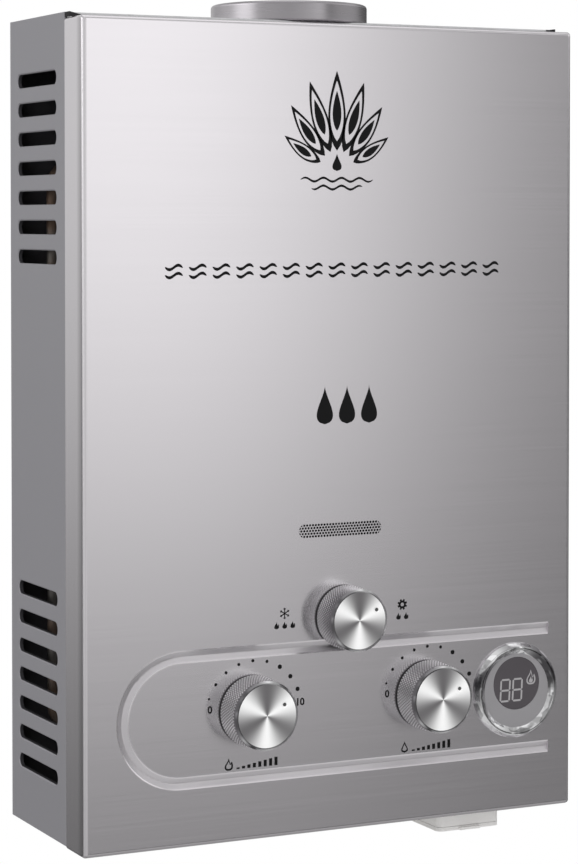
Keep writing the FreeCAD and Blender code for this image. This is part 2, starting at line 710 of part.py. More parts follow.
def exchanger_tube():
    """One tube through the fins three times, with a return bend at each end."""
    rows = tube_rows()
    turn = hot_w / 2 + 4 + TUBE_PITCH / 2
    path = [V(riser_x - PIPE_BEND, rows[0], tube_z), V(-turn, rows[0], tube_z),
            V(-turn, rows[1], tube_z), V(turn, rows[1], tube_z), V(turn, rows[2], tube_z),
            V(-riser_x + PIPE_BEND, rows[2], tube_z)]
    return pipe(path, TUBE_PITCH / 2 - 0.01, TUBE_R, TUBE_T)


def combustion_chamber():
    """Duct between burner and exchanger, with a hole for each electrode in its front wall."""
    duct = box_tube(chamber_low, exchanger_low, hot_w, HOT_D, HOT_T)
    holes = [rod(ELECTRODE_R + 0.2, V(x, hot_front - 1, chamber_low + ELECTRODE_UP), Y * (HOT_T + 2))
             for x in ELECTRODE_X]
    return duct.cut(holes)


def electrode(x):
    """Ceramic rod with a collar against the chamber and a bent-free wire tip over the flame."""
    return turned([(0, -14), (2.0, -14), (2.0, -9), (ELECTRODE_R, -9), (ELECTRODE_R, -2.5), (6.0, -2.5),
                   (6.0, 0), (ELECTRODE_R, 0), (ELECTRODE_R, 12), (1.2, 12), (1.2, 26), (0, 26)],
                  V(x, hot_front, chamber_low + ELECTRODE_UP), Y)


def chamber_bracket():
    """Hat section that ties the chamber to the back sheet."""
    z = chamber_low + CHAMBER_H / 2
    h, crown = BRACKET_H / 2, hot_back + HANGER_T
    foot = h + BRACKET_FOOT
    path = [V(0, -CASE_T, z - foot), V(0, -CASE_T, z - h), V(0, crown, z - h),
            V(0, crown, z + h), V(0, -CASE_T, z + h), V(0, -CASE_T, z + foot)]
    return folded(path, [0, 0, 0, 0], HANGER_T, X * -BRACKET_W, centred=True)


def overheat_switch():
    """Disc thermostat on the exchanger's front wall."""
    return turned([(0, 0), (8.0, 0), (8.0, 4.0), (6.5, 4.0), (6.5, 8.5), (0, 8.5)],
                  V(THERMOSTAT_X, hot_front, exchanger_low + EXCHANGER_H / 2), FRONT)


# ------------------------------------------------------------------ burner and gas train
def blade_places():
    return [(i - (BLADE_COUNT - 1) / 2) * BLADE_PITCH for i in range(BLADE_COUNT)]


def burner_frame():
    """Tray round the burner bars, with a hole in its front for each nozzle and two ledges
    that the bars stand on."""
    tray = box_tube(burner_low, chamber_low, hot_w, HOT_D, HOT_T)
    holes = [rod(NOZZLE_R + 0.1, V(x, hot_front - 1, manifold_z), Y * (HOT_T + 2))
             for x in blade_places()]
    ledges = []
    for y0 in (hot_front + HOT_T, hot_back - HOT_T - BLADE_LEDGE):
        ledges.append(block(-hot_w / 2 + HOT_CORNER, hot_w / 2 - HOT_CORNER, y0, y0 + BLADE_LEDGE,
                            burner_low, burner_low + 2))
    return union(tray.cut(holes), *ledges)


def burner_bars():
    """Row of burner bars: each is a waisted body on a venturi foot, slotted along its top."""
    z0, d = burner_low + 2, BLADE_D / 2
    w = BLADE_W / 2
    hip, waist, shoulder = [z0 + height for height in BLADE_WAIST]
    outline = [V(-w, 0, z0), V(w, 0, z0), V(w, 0, hip), V(w * 0.55, 0, waist), V(w * 0.8, 0, shoulder),
               V(w * 0.8, 0, z0 + BLADE_H), V(-w * 0.8, 0, z0 + BLADE_H), V(-w * 0.8, 0, shoulder),
               V(-w * 0.55, 0, waist), V(-w, 0, hip), V(-w, 0, z0)]
    bar = Part.Face(Part.makePolygon(outline)).extrude(Y * BLADE_D).translated(V(0, mid_y - d, 0))
    throat = Part.makeCone(THROAT_R, THROAT_R * 0.7, 24, V(0, mid_y - d, manifold_z), Y)
    slots = [block(-w * 0.5, w * 0.5, mid_y - d + 6 + 14 * i, mid_y - d + 14 + 14 * i,
                   z0 + BLADE_H - 4, z0 + BLADE_H + 1) for i in range(5)]
    bar = bar.cut([throat] + slots)
    return Part.makeCompound([bar.translated(V(x, 0, 0)) for x in blade_places()])


def gas_manifold():
    """Square tube in front of the burner, with two feeds into its underside."""
    half = hot_w / 2 - 10
    z0, z1 = manifold_z - MANIFOLD_H / 2, manifold_z + MANIFOLD_H / 2
    outer = block(-half, half, manifold_y, hot_front, z0, z1, 3.0, X)
    t = MANIFOLD_T
    inner = block(-half + t, half - t, manifold_y + t, hot_front - t, z0 + t, z1 - t)
    seats = [rod(NOZZLE_R, V(x, hot_front - t - 1, manifold_z), Y * (t + 2)) for x in blade_places()]
    feeds = [rod(GAS_PIPE_R - 1, V(x, manifold_y + MANIFOLD_D / 2, z0 - 1), Z * (t + 2))
             for x in feed_places()]
    return outer.cut([inner] + seats + feeds)


def feed_places():
    return (season_x - FEED_OUT, season_x + FEED_OUT)


def gas_nozzles():
    """Brass jets, one for each burner bar."""
    jets = []
    for x in blade_places():
        jets.append(turned([(JET_R, 0), (NOZZLE_R, 0), (NOZZLE_R, NOZZLE_L - 3), (2 * JET_R, NOZZLE_L),
                            (JET_R, NOZZLE_L)], V(x, hot_front - MANIFOLD_T, manifold_z), Y))
    return Part.makeCompound(jets)


def season_valve():
    """Rotary valve that feeds one or both halves of the manifold."""
    z0, z1 = season_z - SEASON_BLOCK_H / 2, season_z + SEASON_BLOCK_H / 2
    y = manifold_y + MANIFOLD_D / 2
    body = block(season_x - SEASON_W / 2, season_x + SEASON_W / 2, y - SEASON_D / 2, y + SEASON_D / 2,
                 z0, z1, VALVE_EDGE, Z)
    solid = union(body, rod(BOSS_R, V(season_x, boss_y, season_z), Y * (y - boss_y)))
    return solid.cut(boss_bore(season_x, season_z))


def gas_risers():
    """Two short pipes from the season valve up to the manifold."""
    y = manifold_y + MANIFOLD_D / 2
    z0, z1 = season_z + SEASON_BLOCK_H / 2, manifold_z - MANIFOLD_H / 2
    pipes = []
    for x in feed_places():
        pipes.append(rod(GAS_PIPE_R, V(x, y, z0), Z * (z1 - z0))
                     .cut(rod(GAS_PIPE_R - 1, V(x, y, z0), Z * (z1 - z0))))
    return Part.makeCompound(pipes)


def gas_link():
    """Bent pipe from the gas valve's outlet to the side of the season valve."""
    y = manifold_y + MANIFOLD_D / 2
    start = V(gas_x, mid_y - 8, knob_z + VALVE_H / 2)
    z = season_z
    path = [start, V(start.x, start.y, z), V(start.x, y, z), V(season_x - SEASON_W / 2, y, z)]
    return pipe(path, 12.0, GAS_PIPE_R + 1, PIPE_T)


def rod_axis():
    """Line of the push rod between the water and gas valves."""
    return mid_y, knob_z


def gas_valve():
    """Die-cast gas valve: rounded block, spindle boss in front, inlet port below."""
    y, z = rod_axis()
    w, d, h = VALVE_W / 2, VALVE_D / 2, VALVE_H / 2
    body = block(gas_x - w, gas_x + w, y - d, y + d, z - h, z + h, VALVE_EDGE, Z)
    solid = union(body, rod(BOSS_R, V(gas_x, boss_y, z), Y * (y - d + 5 - boss_y)),
                  rod(PORT_R + 3, V(gas_x, y, valve_port_z), Z * (z - h - valve_port_z + 2)))
    bore = rod(ROD_R + ROD_FIT, V(gas_x + w + 1, y, z), X * -(14 + ROD_TRAVEL + 2))
    inlet = rod(FITTING_BORE, V(gas_x, y, valve_port_z - 1), Z * 20)
    return solid.cut([boss_bore(gas_x, z), bore, inlet])


def solenoid_valve():
    """Shut-off solenoid on the left of the gas valve: coil can with a stepped cap."""
    y, z = rod_axis()
    return turned([(0, 0), (SOLENOID_R, 0), (SOLENOID_R, SOLENOID_L - 12), (SOLENOID_R - 3, SOLENOID_L - 12),
                   (SOLENOID_R - 3, SOLENOID_L - 2), (5, SOLENOID_L - 2), (5, SOLENOID_L), (0, SOLENOID_L)],
                  V(gas_x - VALVE_W / 2, y, z), V(-1, 0, 0))


def water_valve():
    """Brass water valve: upright column with ports at both ends, spindle boss, and the right
    half of the diaphragm housing."""
    y, z = rod_axis()
    column = rod(COLUMN_R, V(water_x, y, valve_port_z), Z * (z + VALVE_H / 2 - valve_port_z))
    disc = turned([(0, 0), (DIAPHRAGM_R, 0), (DIAPHRAGM_R, 5), (DIAPHRAGM_R - 5, DIAPHRAGM_T),
                   (0, DIAPHRAGM_T)], V(diaphragm_x, y, z), X)
    boss = rod(BOSS_R - 1, V(water_x, boss_y, z), Y * (y - boss_y))
    drain_y, drain_z = drain_place()
    tap = rod(DRAIN_R + 3, V(water_x, y, drain_z), Y * (drain_y - y))
    solid = union(column, disc, boss, tap)
    inlet = rod(FITTING_BORE, V(water_x, y, valve_port_z - 1), Z * 30)
    outlet = rod(WATER_PIPE_R - PIPE_T, V(water_x, y, z + 20), Z * 20)
    return solid.cut([boss_bore(water_x, z), inlet, outlet])


def diaphragm_cover():
    """Left half of the diaphragm housing, with the push rod's guide."""
    y, z = rod_axis()
    dome = turned([(0, 0), (DIAPHRAGM_R, 0), (DIAPHRAGM_R, 5), (DIAPHRAGM_R - 5, DIAPHRAGM_T - 3),
                   (8, DIAPHRAGM_T - 3), (8, DIAPHRAGM_T + 3), (0, DIAPHRAGM_T + 3)],
                  V(diaphragm_x, y, z), V(-1, 0, 0))
    return dome.cut(rod(ROD_R + ROD_FIT, V(diaphragm_x - DIAPHRAGM_T - 4, y, z), X * 14))


def push_rod():
    """Rod that the diaphragm moves to open the gas valve, with the switch's collar."""
    y, z = rod_axis()
    left, right = gas_x + VALVE_W / 2 - 12, diaphragm_x - DIAPHRAGM_T + 6
    return union(rod(ROD_R, V(left, y, z), X * (right - left)),
                 rod(ROD_COLLAR_R, V(rod_collar_x, y, z), X * ROD_COLLAR_W))


def link_bracket():
    """Strap that joins the gas valve to the diaphragm housing above the push rod."""
    y, z = rod_axis()
    left, right = gas_x + VALVE_W / 2, diaphragm_x - DIAPHRAGM_T + 3
    low, high = z + STRAP_RISE - STRAP_FOOT, z + STRAP_RISE
    path = [V(left, 0, low), V(left, 0, high), V(right, 0, high), V(right, 0, low)]
    strap = folded(path, [1.5 * STRAP_T] * 2, STRAP_T, Y * -STRAP_W, centred=True)
    return strap.translated(V(0, y, 0))


def micro_switch():
    """Switch under the strap; its lever rests beside the push rod's collar."""
    y, z = rod_axis()
    x = rod_collar_x
    body = block(x - 26, x - 2, y - 5, y + 5, z + 10, z + 20)
    lever = block(x - 6, x - 5.5, y - 2, y + 2, z + ROD_COLLAR_R + 0.3, z + 10)
    return union(body, lever)


def drain_place():
    """End of the drain tap behind the water valve: its Y and height."""
    return mid_y + COLUMN_R + DRAIN_OUT, valve_port_z + DRAIN_UP


def drain_plug():
    """Knurled drain and relief plug, screwed onto the tap at the back of the water valve."""
    y, z = drain_place()
    return turned([(0, 0), (DRAIN_R + 3, 0), (DRAIN_R + 3, DRAIN_L - 2), (DRAIN_R, DRAIN_L), (0, DRAIN_L)],
                  V(water_x, y, z), Y)


def fitting(x, top):
    """Threaded connection under the case: hexagon against the panel, spigot up to `top`."""
    y = mid_y
    low = bottom_z - HEX_H - THREAD_L
    solid = union(rod(THREAD_R, V(x, y, low), Z * THREAD_L),
                  hexagon(HEX_AF, V(x, y, bottom_z - HEX_H), HEX_H),
                  rod(THREAD_R - 0.4, V(x, y, bottom_z), Z * (top - bottom_z)))
    return solid.cut(rod(FITTING_BORE, V(x, y, low - 1), Z * (top - low + 2)))


def cold_pipe():
    """From the water valve up the right side into the exchanger's first pass."""
    y, z = rod_axis()
    row = tube_rows()[0]
    turn_z = z + VALVE_H / 2 + COLD_TURN
    path = [V(water_x, y, z + VALVE_H / 2), V(water_x, y, turn_z), V(riser_x, row, turn_z),
            V(riser_x, row, tube_z), V(riser_x - PIPE_BEND, row, tube_z)]
    return pipe(path, PIPE_BEND - 0.01, WATER_PIPE_R, PIPE_T)


def hot_pipe():
    """From the exchanger's last pass down the left side to the hot outlet."""
    row = tube_rows()[2]
    knee, foot = bottom_z + HOT_KNEE, bottom_z + HOT_FOOT
    path = [V(-riser_x + PIPE_BEND, row, tube_z), V(-riser_x, row, tube_z), V(-riser_x, row, knee),
            V(hot_x, mid_y, foot), V(hot_x, mid_y, bottom_z + 20)]
    return pipe(path, PIPE_BEND - 0.01, WATER_PIPE_R, PIPE_T)


# ------------------------------------------------------------------ electrics
def igniter_box():
    """Pulse igniter on the back sheet, with a row of terminals below."""
    z = burner_low - 16
    x0, x1 = igniter_x - IGNITER_W / 2, igniter_x + IGNITER_W / 2
    body = block(x0, x1, -CASE_T - IGNITER_D, -CASE_T, z - IGNITER_H, z, 4.0, Y)
    pins = [block(x0 + 12 + 12 * i, x0 + 18 + 12 * i, -CASE_T - 16, -CASE_T - 8, z - IGNITER_H - 5,
                  z - IGNITER_H) for i in range(6)]
    return union(body, *pins)


def battery_section(width, depth, radius, z):
    return Part.Face(rounded_rect(width, depth, radius, V(battery_x, battery_y0 + BATTERY_D / 2, z)))


def battery_ears():
    """Two lugs behind the box's lower edge that hold the lid's pin."""
    lugs = []
    for side in (-1, 1):
        edge = battery_x + side * (BATTERY_W / 2 - BATTERY_CORNER)
        x0 = min(edge, edge - side * LID_EAR_W)
        round_end = rod(LID_EAR_R, V(x0, lid_axis_y, lid_axis_z), X * LID_EAR_W)
        web = block(x0, x0 + LID_EAR_W, battery_y1 + 0.5, lid_axis_y + LID_EAR_R, lid_axis_z,
                    battery_low + LID_EAR_ROOT)
        root = block(x0, x0 + LID_EAR_W, battery_y1 - 0.5, battery_y1 + 0.5, battery_low,
                     battery_low + LID_EAR_ROOT)
        lugs.append(round_end.fuse([web, root]))
    return lugs


def battery_box():
    """Battery case hung through the bottom panel on a flange, open below."""
    shell = battery_section(BATTERY_W, BATTERY_D, BATTERY_CORNER, battery_low)
    body = shell.extrude(Z * (battery_high - battery_low))
    flange = battery_section(BATTERY_W + 8, BATTERY_D + 8, BATTERY_CORNER + 4, bottom_z + CASE_T)
    body = union(body, flange.extrude(Z * 2.0), *battery_ears())
    bay = obround_face(CELL_BAY_D, 2 * CELL_R, V(battery_x, battery_y0 + BATTERY_D / 2, battery_low - 1),
                       Z, Y).extrude(Z * (battery_high - battery_low - 2))
    pin = rod(LID_PIN_R, V(battery_x - BATTERY_W / 2 - 1, lid_axis_y, lid_axis_z), X * (BATTERY_W + 2))
    # the pin's holes are line to line with it: it is a press fit in the ears
    return body.cut([bay, pin])


def battery_pin():
    """Hinge pin of the battery lid, pressed into the two lugs."""
    reach = BATTERY_W / 2 - BATTERY_CORNER
    return rod(LID_PIN_R, V(battery_x - reach, lid_axis_y, lid_axis_z), X * (2 * reach))


def battery_lid():
    """Lid under the box: a plate, a barrel on the pin, a rib inside the bay and a thumb lip."""
    z1 = battery_low - LID_GAP
    plate = battery_section(BATTERY_W, BATTERY_D, BATTERY_CORNER, z1 - LID_T).extrude(Z * LID_T)
    barrel_x = BATTERY_W / 2 - BATTERY_CORNER - LID_EAR_W - 0.4
    low, high = battery_x - barrel_x, battery_x + barrel_x
    barrel = rod(LID_EAR_R, V(low, lid_axis_y, lid_axis_z), X * (high - low))
    web = block(low, high, battery_y1 - 3, lid_axis_y, z1 - LID_T, z1)
    mid = battery_y0 + BATTERY_D / 2
    rib = block(battery_x - 10, battery_x + 10, mid - 22, mid + 8, z1, z1 + 3.0, 3.0, Z)
    lip = block(battery_x - 9, battery_x + 9, battery_y0 - 2.2, battery_y0 + 2, z1 - LID_T, z1 - LID_T + 2)
    solid = union(plate, barrel, web, rib, lip)
    return solid.cut(rod(LID_PIN_R + LID_PIN_FIT, V(low - 1, lid_axis_y, lid_axis_z), X * (high - low + 2)))


def battery_contacts():
    """Contact strip on the ceiling of the bay with one button for each cell."""
    ceiling = battery_high - 3
    mid = battery_y0 + BATTERY_D / 2
    offset = (CELL_BAY_D - 2 * CELL_R) / 2
    strip = block(battery_x - 7, battery_x + 7, mid - offset - 8, mid + offset + 8, ceiling - 0.6, ceiling)
    buttons = [turned([(0, 0), (5.0, 0), (3.5, 2.0), (0, 2.0)], V(battery_x, mid + s * offset, ceiling - 0.6),
                      Z * -1) for s in (-1, 1)]
    return union(strip, *buttons)


# ------------------------------------------------------------------ all pieces
def main():
    os.makedirs("parts", exist_ok=True)
    save(rear_case(), "rear_case")
    save(top_panel(), "top_panel")
    save(bottom_panel(), "bottom_panel")
    save(hanger(screw_span_z / 2), "hanger_upper")
    save(hanger(-screw_span_z / 2), "hanger_lower")
    save(front_cover(), "front_cover")
    save(sight_screen(), "sight_screen")

    for name, x, z, base_r, face_r, height in (
            ("gas", gas_x, knob_z, KNOB_R, KNOB_FACE_R, KNOB_H),
            ("water", water_x, knob_z, KNOB_R, KNOB_FACE_R, KNOB_H),
            ("season", season_x, season_z, SEASON_R, SEASON_FACE_R, SEASON_H)):
        save(knob(x, z, base_r, face_r, height), name + "_knob")
        save(knob_cap(x, z, face_r, height), name + "_knob_cap")
        save(spindle(x, z), name + "_spindle")

    save(display_bezel(), "display_bezel")
    save(display_face(), "display_face")
    save(display_lens(), "display_lens")
    save(display_housing(), "display_housing")
    save(display_board(), "display_board")

    save(flue_collar(), "flue_collar")
    save(draught_hood(), "draught_hood")
    save(exchanger_shell(), "exchanger_shell")
    save(exchanger_fins(), "exchanger_fins")
    save(exchanger_tube(), "exchanger_tube")
    save(combustion_chamber(), "combustion_chamber")
    save(chamber_bracket(), "chamber_bracket")
    save(overheat_switch(), "overheat_switch")
    save(electrode(ELECTRODE_X[0]), "ignition_electrode")
    save(electrode(ELECTRODE_X[1]), "flame_sensor")
    save(burner_frame(), "burner_frame")
    save(burner_bars(), "burner_bars")

    save(gas_manifold(), "gas_manifold")
    save(gas_nozzles(), "gas_nozzles")
    save(season_valve(), "season_valve")
    save(gas_risers(), "gas_risers")
    save(gas_link(), "gas_link_pipe")
    save(gas_valve(), "gas_valve")
    save(solenoid_valve(), "solenoid_valve")

    save(water_valve(), "water_valve")
    save(diaphragm_cover(), "diaphragm_cover")
    save(push_rod(), "push_rod")
    save(link_bracket(), "link_bracket")
    save(micro_switch(), "micro_switch")
    save(drain_plug(), "drain_plug")
    save(cold_pipe(), "cold_pipe")
    save(hot_pipe(), "hot_pipe")
    save(fitting(gas_x, valve_port_z), "gas_inlet")
    save(fitting(water_x, valve_port_z), "cold_inlet")
    save(fitting(hot_x, bottom_z + 20), "hot_outlet")

    save(igniter_box(), "igniter_box")
    save(battery_box(), "battery_box")
    save(battery_pin(), "battery_pin")
    save(battery_lid(), "battery_lid")
    save(battery_contacts(), "battery_contacts")


main()
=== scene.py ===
import math

import bmesh
import bpy
from mathutils import Matrix, Vector


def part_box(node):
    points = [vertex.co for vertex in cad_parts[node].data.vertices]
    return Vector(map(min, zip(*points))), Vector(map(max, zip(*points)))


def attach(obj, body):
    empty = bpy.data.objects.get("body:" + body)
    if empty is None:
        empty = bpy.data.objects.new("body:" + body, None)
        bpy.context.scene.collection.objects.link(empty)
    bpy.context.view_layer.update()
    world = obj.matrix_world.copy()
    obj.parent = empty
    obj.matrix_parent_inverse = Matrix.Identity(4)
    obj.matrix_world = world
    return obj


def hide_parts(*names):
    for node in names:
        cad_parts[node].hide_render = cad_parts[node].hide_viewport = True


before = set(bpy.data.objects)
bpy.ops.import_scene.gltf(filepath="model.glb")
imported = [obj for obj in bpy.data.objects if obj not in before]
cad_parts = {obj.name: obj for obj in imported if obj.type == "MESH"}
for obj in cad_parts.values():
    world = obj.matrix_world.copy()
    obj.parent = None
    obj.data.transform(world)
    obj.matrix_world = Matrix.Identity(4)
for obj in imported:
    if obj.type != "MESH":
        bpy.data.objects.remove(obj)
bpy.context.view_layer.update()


# ---------------------------------------------------------------- rear case
# One folded sheet of 1 mm steel makes the back and both sides, with two rows of pressed air
# slots on each side. It is coated with grey powder paint, which bakes to a satin skin with a
# slight orange peel.
def arithmetic(operation):
    """A sign between two values, as a Math node in the tree of the first."""
    return lambda first, second: first.bench.maths(operation, first, second)


class Port:
    """A socket's value. Arithmetic with numbers or other ports adds Math nodes to its tree."""

    __add__ = __radd__ = arithmetic("ADD")
    __mul__ = __rmul__ = arithmetic("MULTIPLY")
    __sub__, __truediv__, __pow__ = arithmetic("SUBTRACT"), arithmetic("DIVIDE"), arithmetic("POWER")
    __mod__ = arithmetic("FLOORED_MODULO")
    __lt__, __gt__ = arithmetic("LESS_THAN"), arithmetic("GREATER_THAN")

    def __init__(self, bench, socket):
        self.bench, self.socket = bench, socket

    def __rsub__(self, other):
        return self.bench.maths("SUBTRACT", other, self)


class Bench:
    """A node tree that a finish or a repeated shape is laid out on."""

    def __init__(self, tree):
        self.tree = tree

    def output(self, surface, kind="ShaderNodeOutputMaterial"):
        self.tree.links.new(surface.socket, self.tree.nodes.new(kind).inputs["Surface"])

    def node(self, kind, settings=None, values=None, out=0):
        made = self.tree.nodes.new(kind)
        for key, value in (settings or {}).items():
            if key == "stops":
                while len(made.color_ramp.elements) < len(value):
                    made.color_ramp.elements.new(1.0)
                for stop, (place, tone) in zip(made.color_ramp.elements, value):
                    stop.position, stop.color = place, tone
            else:
                setattr(made, key, value)
        for key, value in (values or {}).items():
            if isinstance(value, Port):
                self.tree.links.new(value.socket, made.inputs[key])
            else:
                made.inputs[key].default_value = value
        return Port(self, made.outputs[out])

    def maths(self, operation, *terms):
        return self.node("ShaderNodeMath", {"operation": operation}, dict(enumerate(terms)))

    def length(self, x, z):
        return self.maths("SQRT", x * x + z * z)

    def smooth(self, value, low, high):
        """0 below low, 1 above high, eased between."""
        return self.node("ShaderNodeMapRange", {"interpolation_type": "SMOOTHSTEP"},
                         {"Value": value, "From Min": low, "From Max": high})

    def place(self):
        return self.node("ShaderNodeTexCoord", out="Object")

    def vector(self, **parts):
        return self.node("ShaderNodeCombineXYZ", {}, parts)

    def moved(self, vector, location=(0, 0, 0), scale=(1, 1, 1)):
        return self.node("ShaderNodeMapping", {}, {"Vector": vector, "Location": location, "Scale": scale})

    def axes(self, vector):
        split = self.node("ShaderNodeSeparateXYZ", {}, {0: vector}).socket.node
        return [Port(self, socket) for socket in split.outputs]

    def noise(self, vector, scale, detail=2.0):
        return self.node("ShaderNodeTexNoise", {}, {"Vector": vector, "Scale": scale, "Detail": detail})

    def tint(self, colour, amount):
        return self.node("ShaderNodeVectorMath", {"operation": "SCALE"}, {0: colour, "Scale": amount})

    def mix(self, share, first, second):
        return self.node("ShaderNodeMix", {"data_type": "RGBA"}, {0: share, 6: first, 7: second}, 2)

    def bump(self, height, strength, distance):
        return self.node("ShaderNodeBump", {}, {"Height": height, "Strength": strength, "Distance": distance})


def bench_of(owner):
    """The cleared node tree of a material or of the studio."""
    owner.use_nodes = True
    owner.node_tree.nodes.clear()
    return Bench(owner.node_tree)


def finish(name, lay):
    """A material; lay(bench) gives the values and links of its shader's sockets."""
    material = bpy.data.materials.new(name)
    bench = bench_of(material)
    bench.output(bench.node("ShaderNodeBsdfPrincipled", {}, lay(bench)))
    return material


def grained(name, colour, roughness, metallic=0.0, cloud=0.06, cloud_scale=9.0, grain_scale=900.0,
            depth=0.00004, stretch=(1, 1, 1), **constants):
    """A finish with slow clouds in its tone and gloss, and a fine grain in its relief."""
    def lay(bench):
        at = bench.moved(bench.place(), scale=stretch)
        slow = bench.noise(at, cloud_scale, 3.0) - 0.5
        fine = bench.noise(at, grain_scale, 2.0)
        tone = 1 + slow * (2 * cloud) + (fine - 0.5) * cloud
        return {"Base Color": bench.tint(colour, tone), "Metallic": metallic,
                "Roughness": roughness + slow * 0.2 + (fine - 0.5) * 0.1,
                "Normal": bench.bump(fine, 0.6, depth), **constants}
    return finish(name, lay)


def dress(material, *names):
    """CAD pieces take a finish."""
    for name in names:
        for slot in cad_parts[name].material_slots:
            slot.material = material


PAINT, INSIDE_PAINTED_SHADE = (0.252, 0.247, 0.266), (0.035, 0.034, 0.038)
SHEET, PEEL_SCALE, PEEL_DEPTH = 0.001, 620.0, 0.00006
INNER_SKIN, OUTER_SKIN = 0.8 * SHEET, 0.5 * SHEET
WELD_R, WELD_PITCH, WELD_DEPTH = 0.0032, 0.048, 0.0005
WELD_LINES = (-0.254, -0.226, 0.226, 0.254)
case_low, case_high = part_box("rear_case")


def baked_paint(bench):
    """Grey outside, with the dimples of the hangers' spot welds; the inside is painted near-black as painted
    shade.
    """
    at = bench.place()
    x, y, z = bench.axes(at)
    # Painted shade: every face inside the case is coloured near-black, for the dark seen through the slots.
    inside = (bench.maths("ABSOLUTE", x) < case_high.x - INNER_SKIN) * (y < case_high.y - INNER_SKIN)
    slow, fine = bench.noise(at, 4.0, 3.0) - 0.5, bench.noise(at, PEEL_SCALE)
    along, weld = (x + WELD_PITCH / 2) % WELD_PITCH - WELD_PITCH / 2, 0.0
    for line in WELD_LINES:
        weld = (1 - bench.smooth(bench.length(along, z - line), 0.5 * WELD_R, WELD_R)) + weld
    weld = weld * (y > case_high.y - OUTER_SKIN)
    tone = 1 + slow * 0.06 + (fine - 0.5) * 0.03 - weld * 0.12
    return {"Base Color": bench.tint(bench.mix(inside, (*PAINT, 1), (*INSIDE_PAINTED_SHADE, 1)), tone),
            "Roughness": 0.46 + slow * 0.2 + (fine - 0.5) * 0.1,
            "Normal": bench.bump(fine * (PEEL_DEPTH / WELD_DEPTH) - weld, 0.6, WELD_DEPTH)}


dress(finish("baked_grey_paint", baked_paint), "rear_case")


# ---------------------------------------------------------------- end panels, hangers, brackets
# Galvanised sheet: the two panels that close the case, spot welded into it, the hangers behind
# the wall screws, the hood, the chamber's hat section and the strap between the valves, with the
# lid's pin and the battery contacts. The zinc leaves a faint spangle of pale crystals.
ZINC = (0.66, 0.66, 0.67)
SPANGLE_SCALE = 170.0


def zinc_plate(bench):
    at = bench.place()
    crystal = bench.node("ShaderNodeTexVoronoi", {}, {"Vector": at, "Scale": SPANGLE_SCALE}, "Color")
    tone = bench.node("ShaderNodeSeparateColor", {}, {0: crystal})
    fine = bench.noise(at, 1200.0)
    return {"Base Color": bench.tint(ZINC, 0.9 + tone * 0.18), "Roughness": 0.36 + tone * 0.16,
            "Metallic": 0.9, "Normal": bench.bump(fine, 0.5, 0.00002)}


zinc = finish("zinc_plate", zinc_plate)
dress(zinc, "top_panel", "bottom_panel", "hanger_upper", "hanger_lower", "chamber_bracket",
      "link_bracket", "draught_hood", "battery_pin", "battery_contacts")


# ---------------------------------------------------------------- heat exchanger and chamber
# Copper sheet, fins and a looped tube, dipped in tin and brazed; the water pipes are the same
# tube bent cold. The tin leaves the copper pale and patchy, redder where it has worn thin; here
# both tones are painted far darker, as painted shade inside the case.
COPPER_TINNED_SHADED, COPPER_BARE_SHADED = (0.13, 0.122, 0.115, 1), (0.15, 0.105, 0.080, 1)
WEAR_SCALE, WEAR_EDGE = 22.0, (0.42, 0.62)


def tinned_copper(bench):
    at = bench.place()
    patch = bench.smooth(bench.noise(at, WEAR_SCALE, 4.0), *WEAR_EDGE)
    fine = bench.noise(at, 700.0)
    return {"Base Color": bench.mix(patch, COPPER_TINNED_SHADED, COPPER_BARE_SHADED), "Metallic": 1.0,
            "Roughness": 0.42 + patch * 0.12 + fine * 0.1, "Normal": bench.bump(fine, 0.5, 0.00003)}


copper = finish("tinned_copper", tinned_copper)
dress(copper, "exchanger_shell", "exchanger_fins", "exchanger_tube", "combustion_chamber", "cold_pipe",
      "hot_pipe")


# ---------------------------------------------------------------- burner, igniter and sensors
# Stamped stainless burner bars in a tray, sparked by a white ceramic electrode and watched by
# a second one; the pulse igniter, the switches, the solenoid's case and the display's cup are
# moulded in black flame-proof plastic.
STAINLESS, CERAMIC, BLACK_MOULDING = (0.52, 0.50, 0.48), (0.82, 0.80, 0.76), (0.018, 0.018, 0.019)
stainless = grained("stamped_stainless", STAINLESS, 0.34, 1.0, cloud=0.08, cloud_scale=14.0,
                    grain_scale=60.0, depth=0.00001, stretch=(1, 30, 30))
ceramic = grained("white_ceramic", CERAMIC, 0.28, cloud=0.03, cloud_scale=40.0, depth=0.00001)
black_moulding = grained("black_moulding", BLACK_MOULDING, 0.55, cloud=0.08, cloud_scale=20.0,
                         grain_scale=1500.0, depth=0.00005)
dress(stainless, "burner_frame", "burner_bars")
dress(ceramic, "ignition_electrode", "flame_sensor")
dress(black_moulding, "overheat_switch", "micro_switch", "igniter_box", "solenoid_valve", "display_housing")


# ---------------------------------------------------------------- gas valves and manifold
# Die-cast aluminium bodies and manifold, shot-blasted to an even, slightly rough grey, and bent
# tubes with the same dull skin between them.
CAST = (0.50, 0.50, 0.51)
cast_alloy = grained("blasted_casting", CAST, 0.50, 0.85, cloud=0.06, cloud_scale=30.0, grain_scale=1100.0,
                     depth=0.00010)
dress(cast_alloy, "gas_manifold", "season_valve", "gas_risers", "gas_link_pipe", "gas_valve")


# ---------------------------------------------------------------- water valve and spindles
# Brass, hot-stamped and then turned: a fine grain from the tool and slow patches in the tone. The
# gas nozzles, the diaphragm's cover, the drain plug and the push rod are the same metal.
BRASS = (0.62, 0.44, 0.17)
brass = grained("turned_brass", BRASS, 0.28, 1.0, cloud=0.10, cloud_scale=25.0, grain_scale=500.0,
                depth=0.00002)
dress(brass, "gas_nozzles", "water_valve", "diaphragm_cover", "drain_plug", "gas_spindle", "water_spindle",
      "season_spindle", "push_rod")


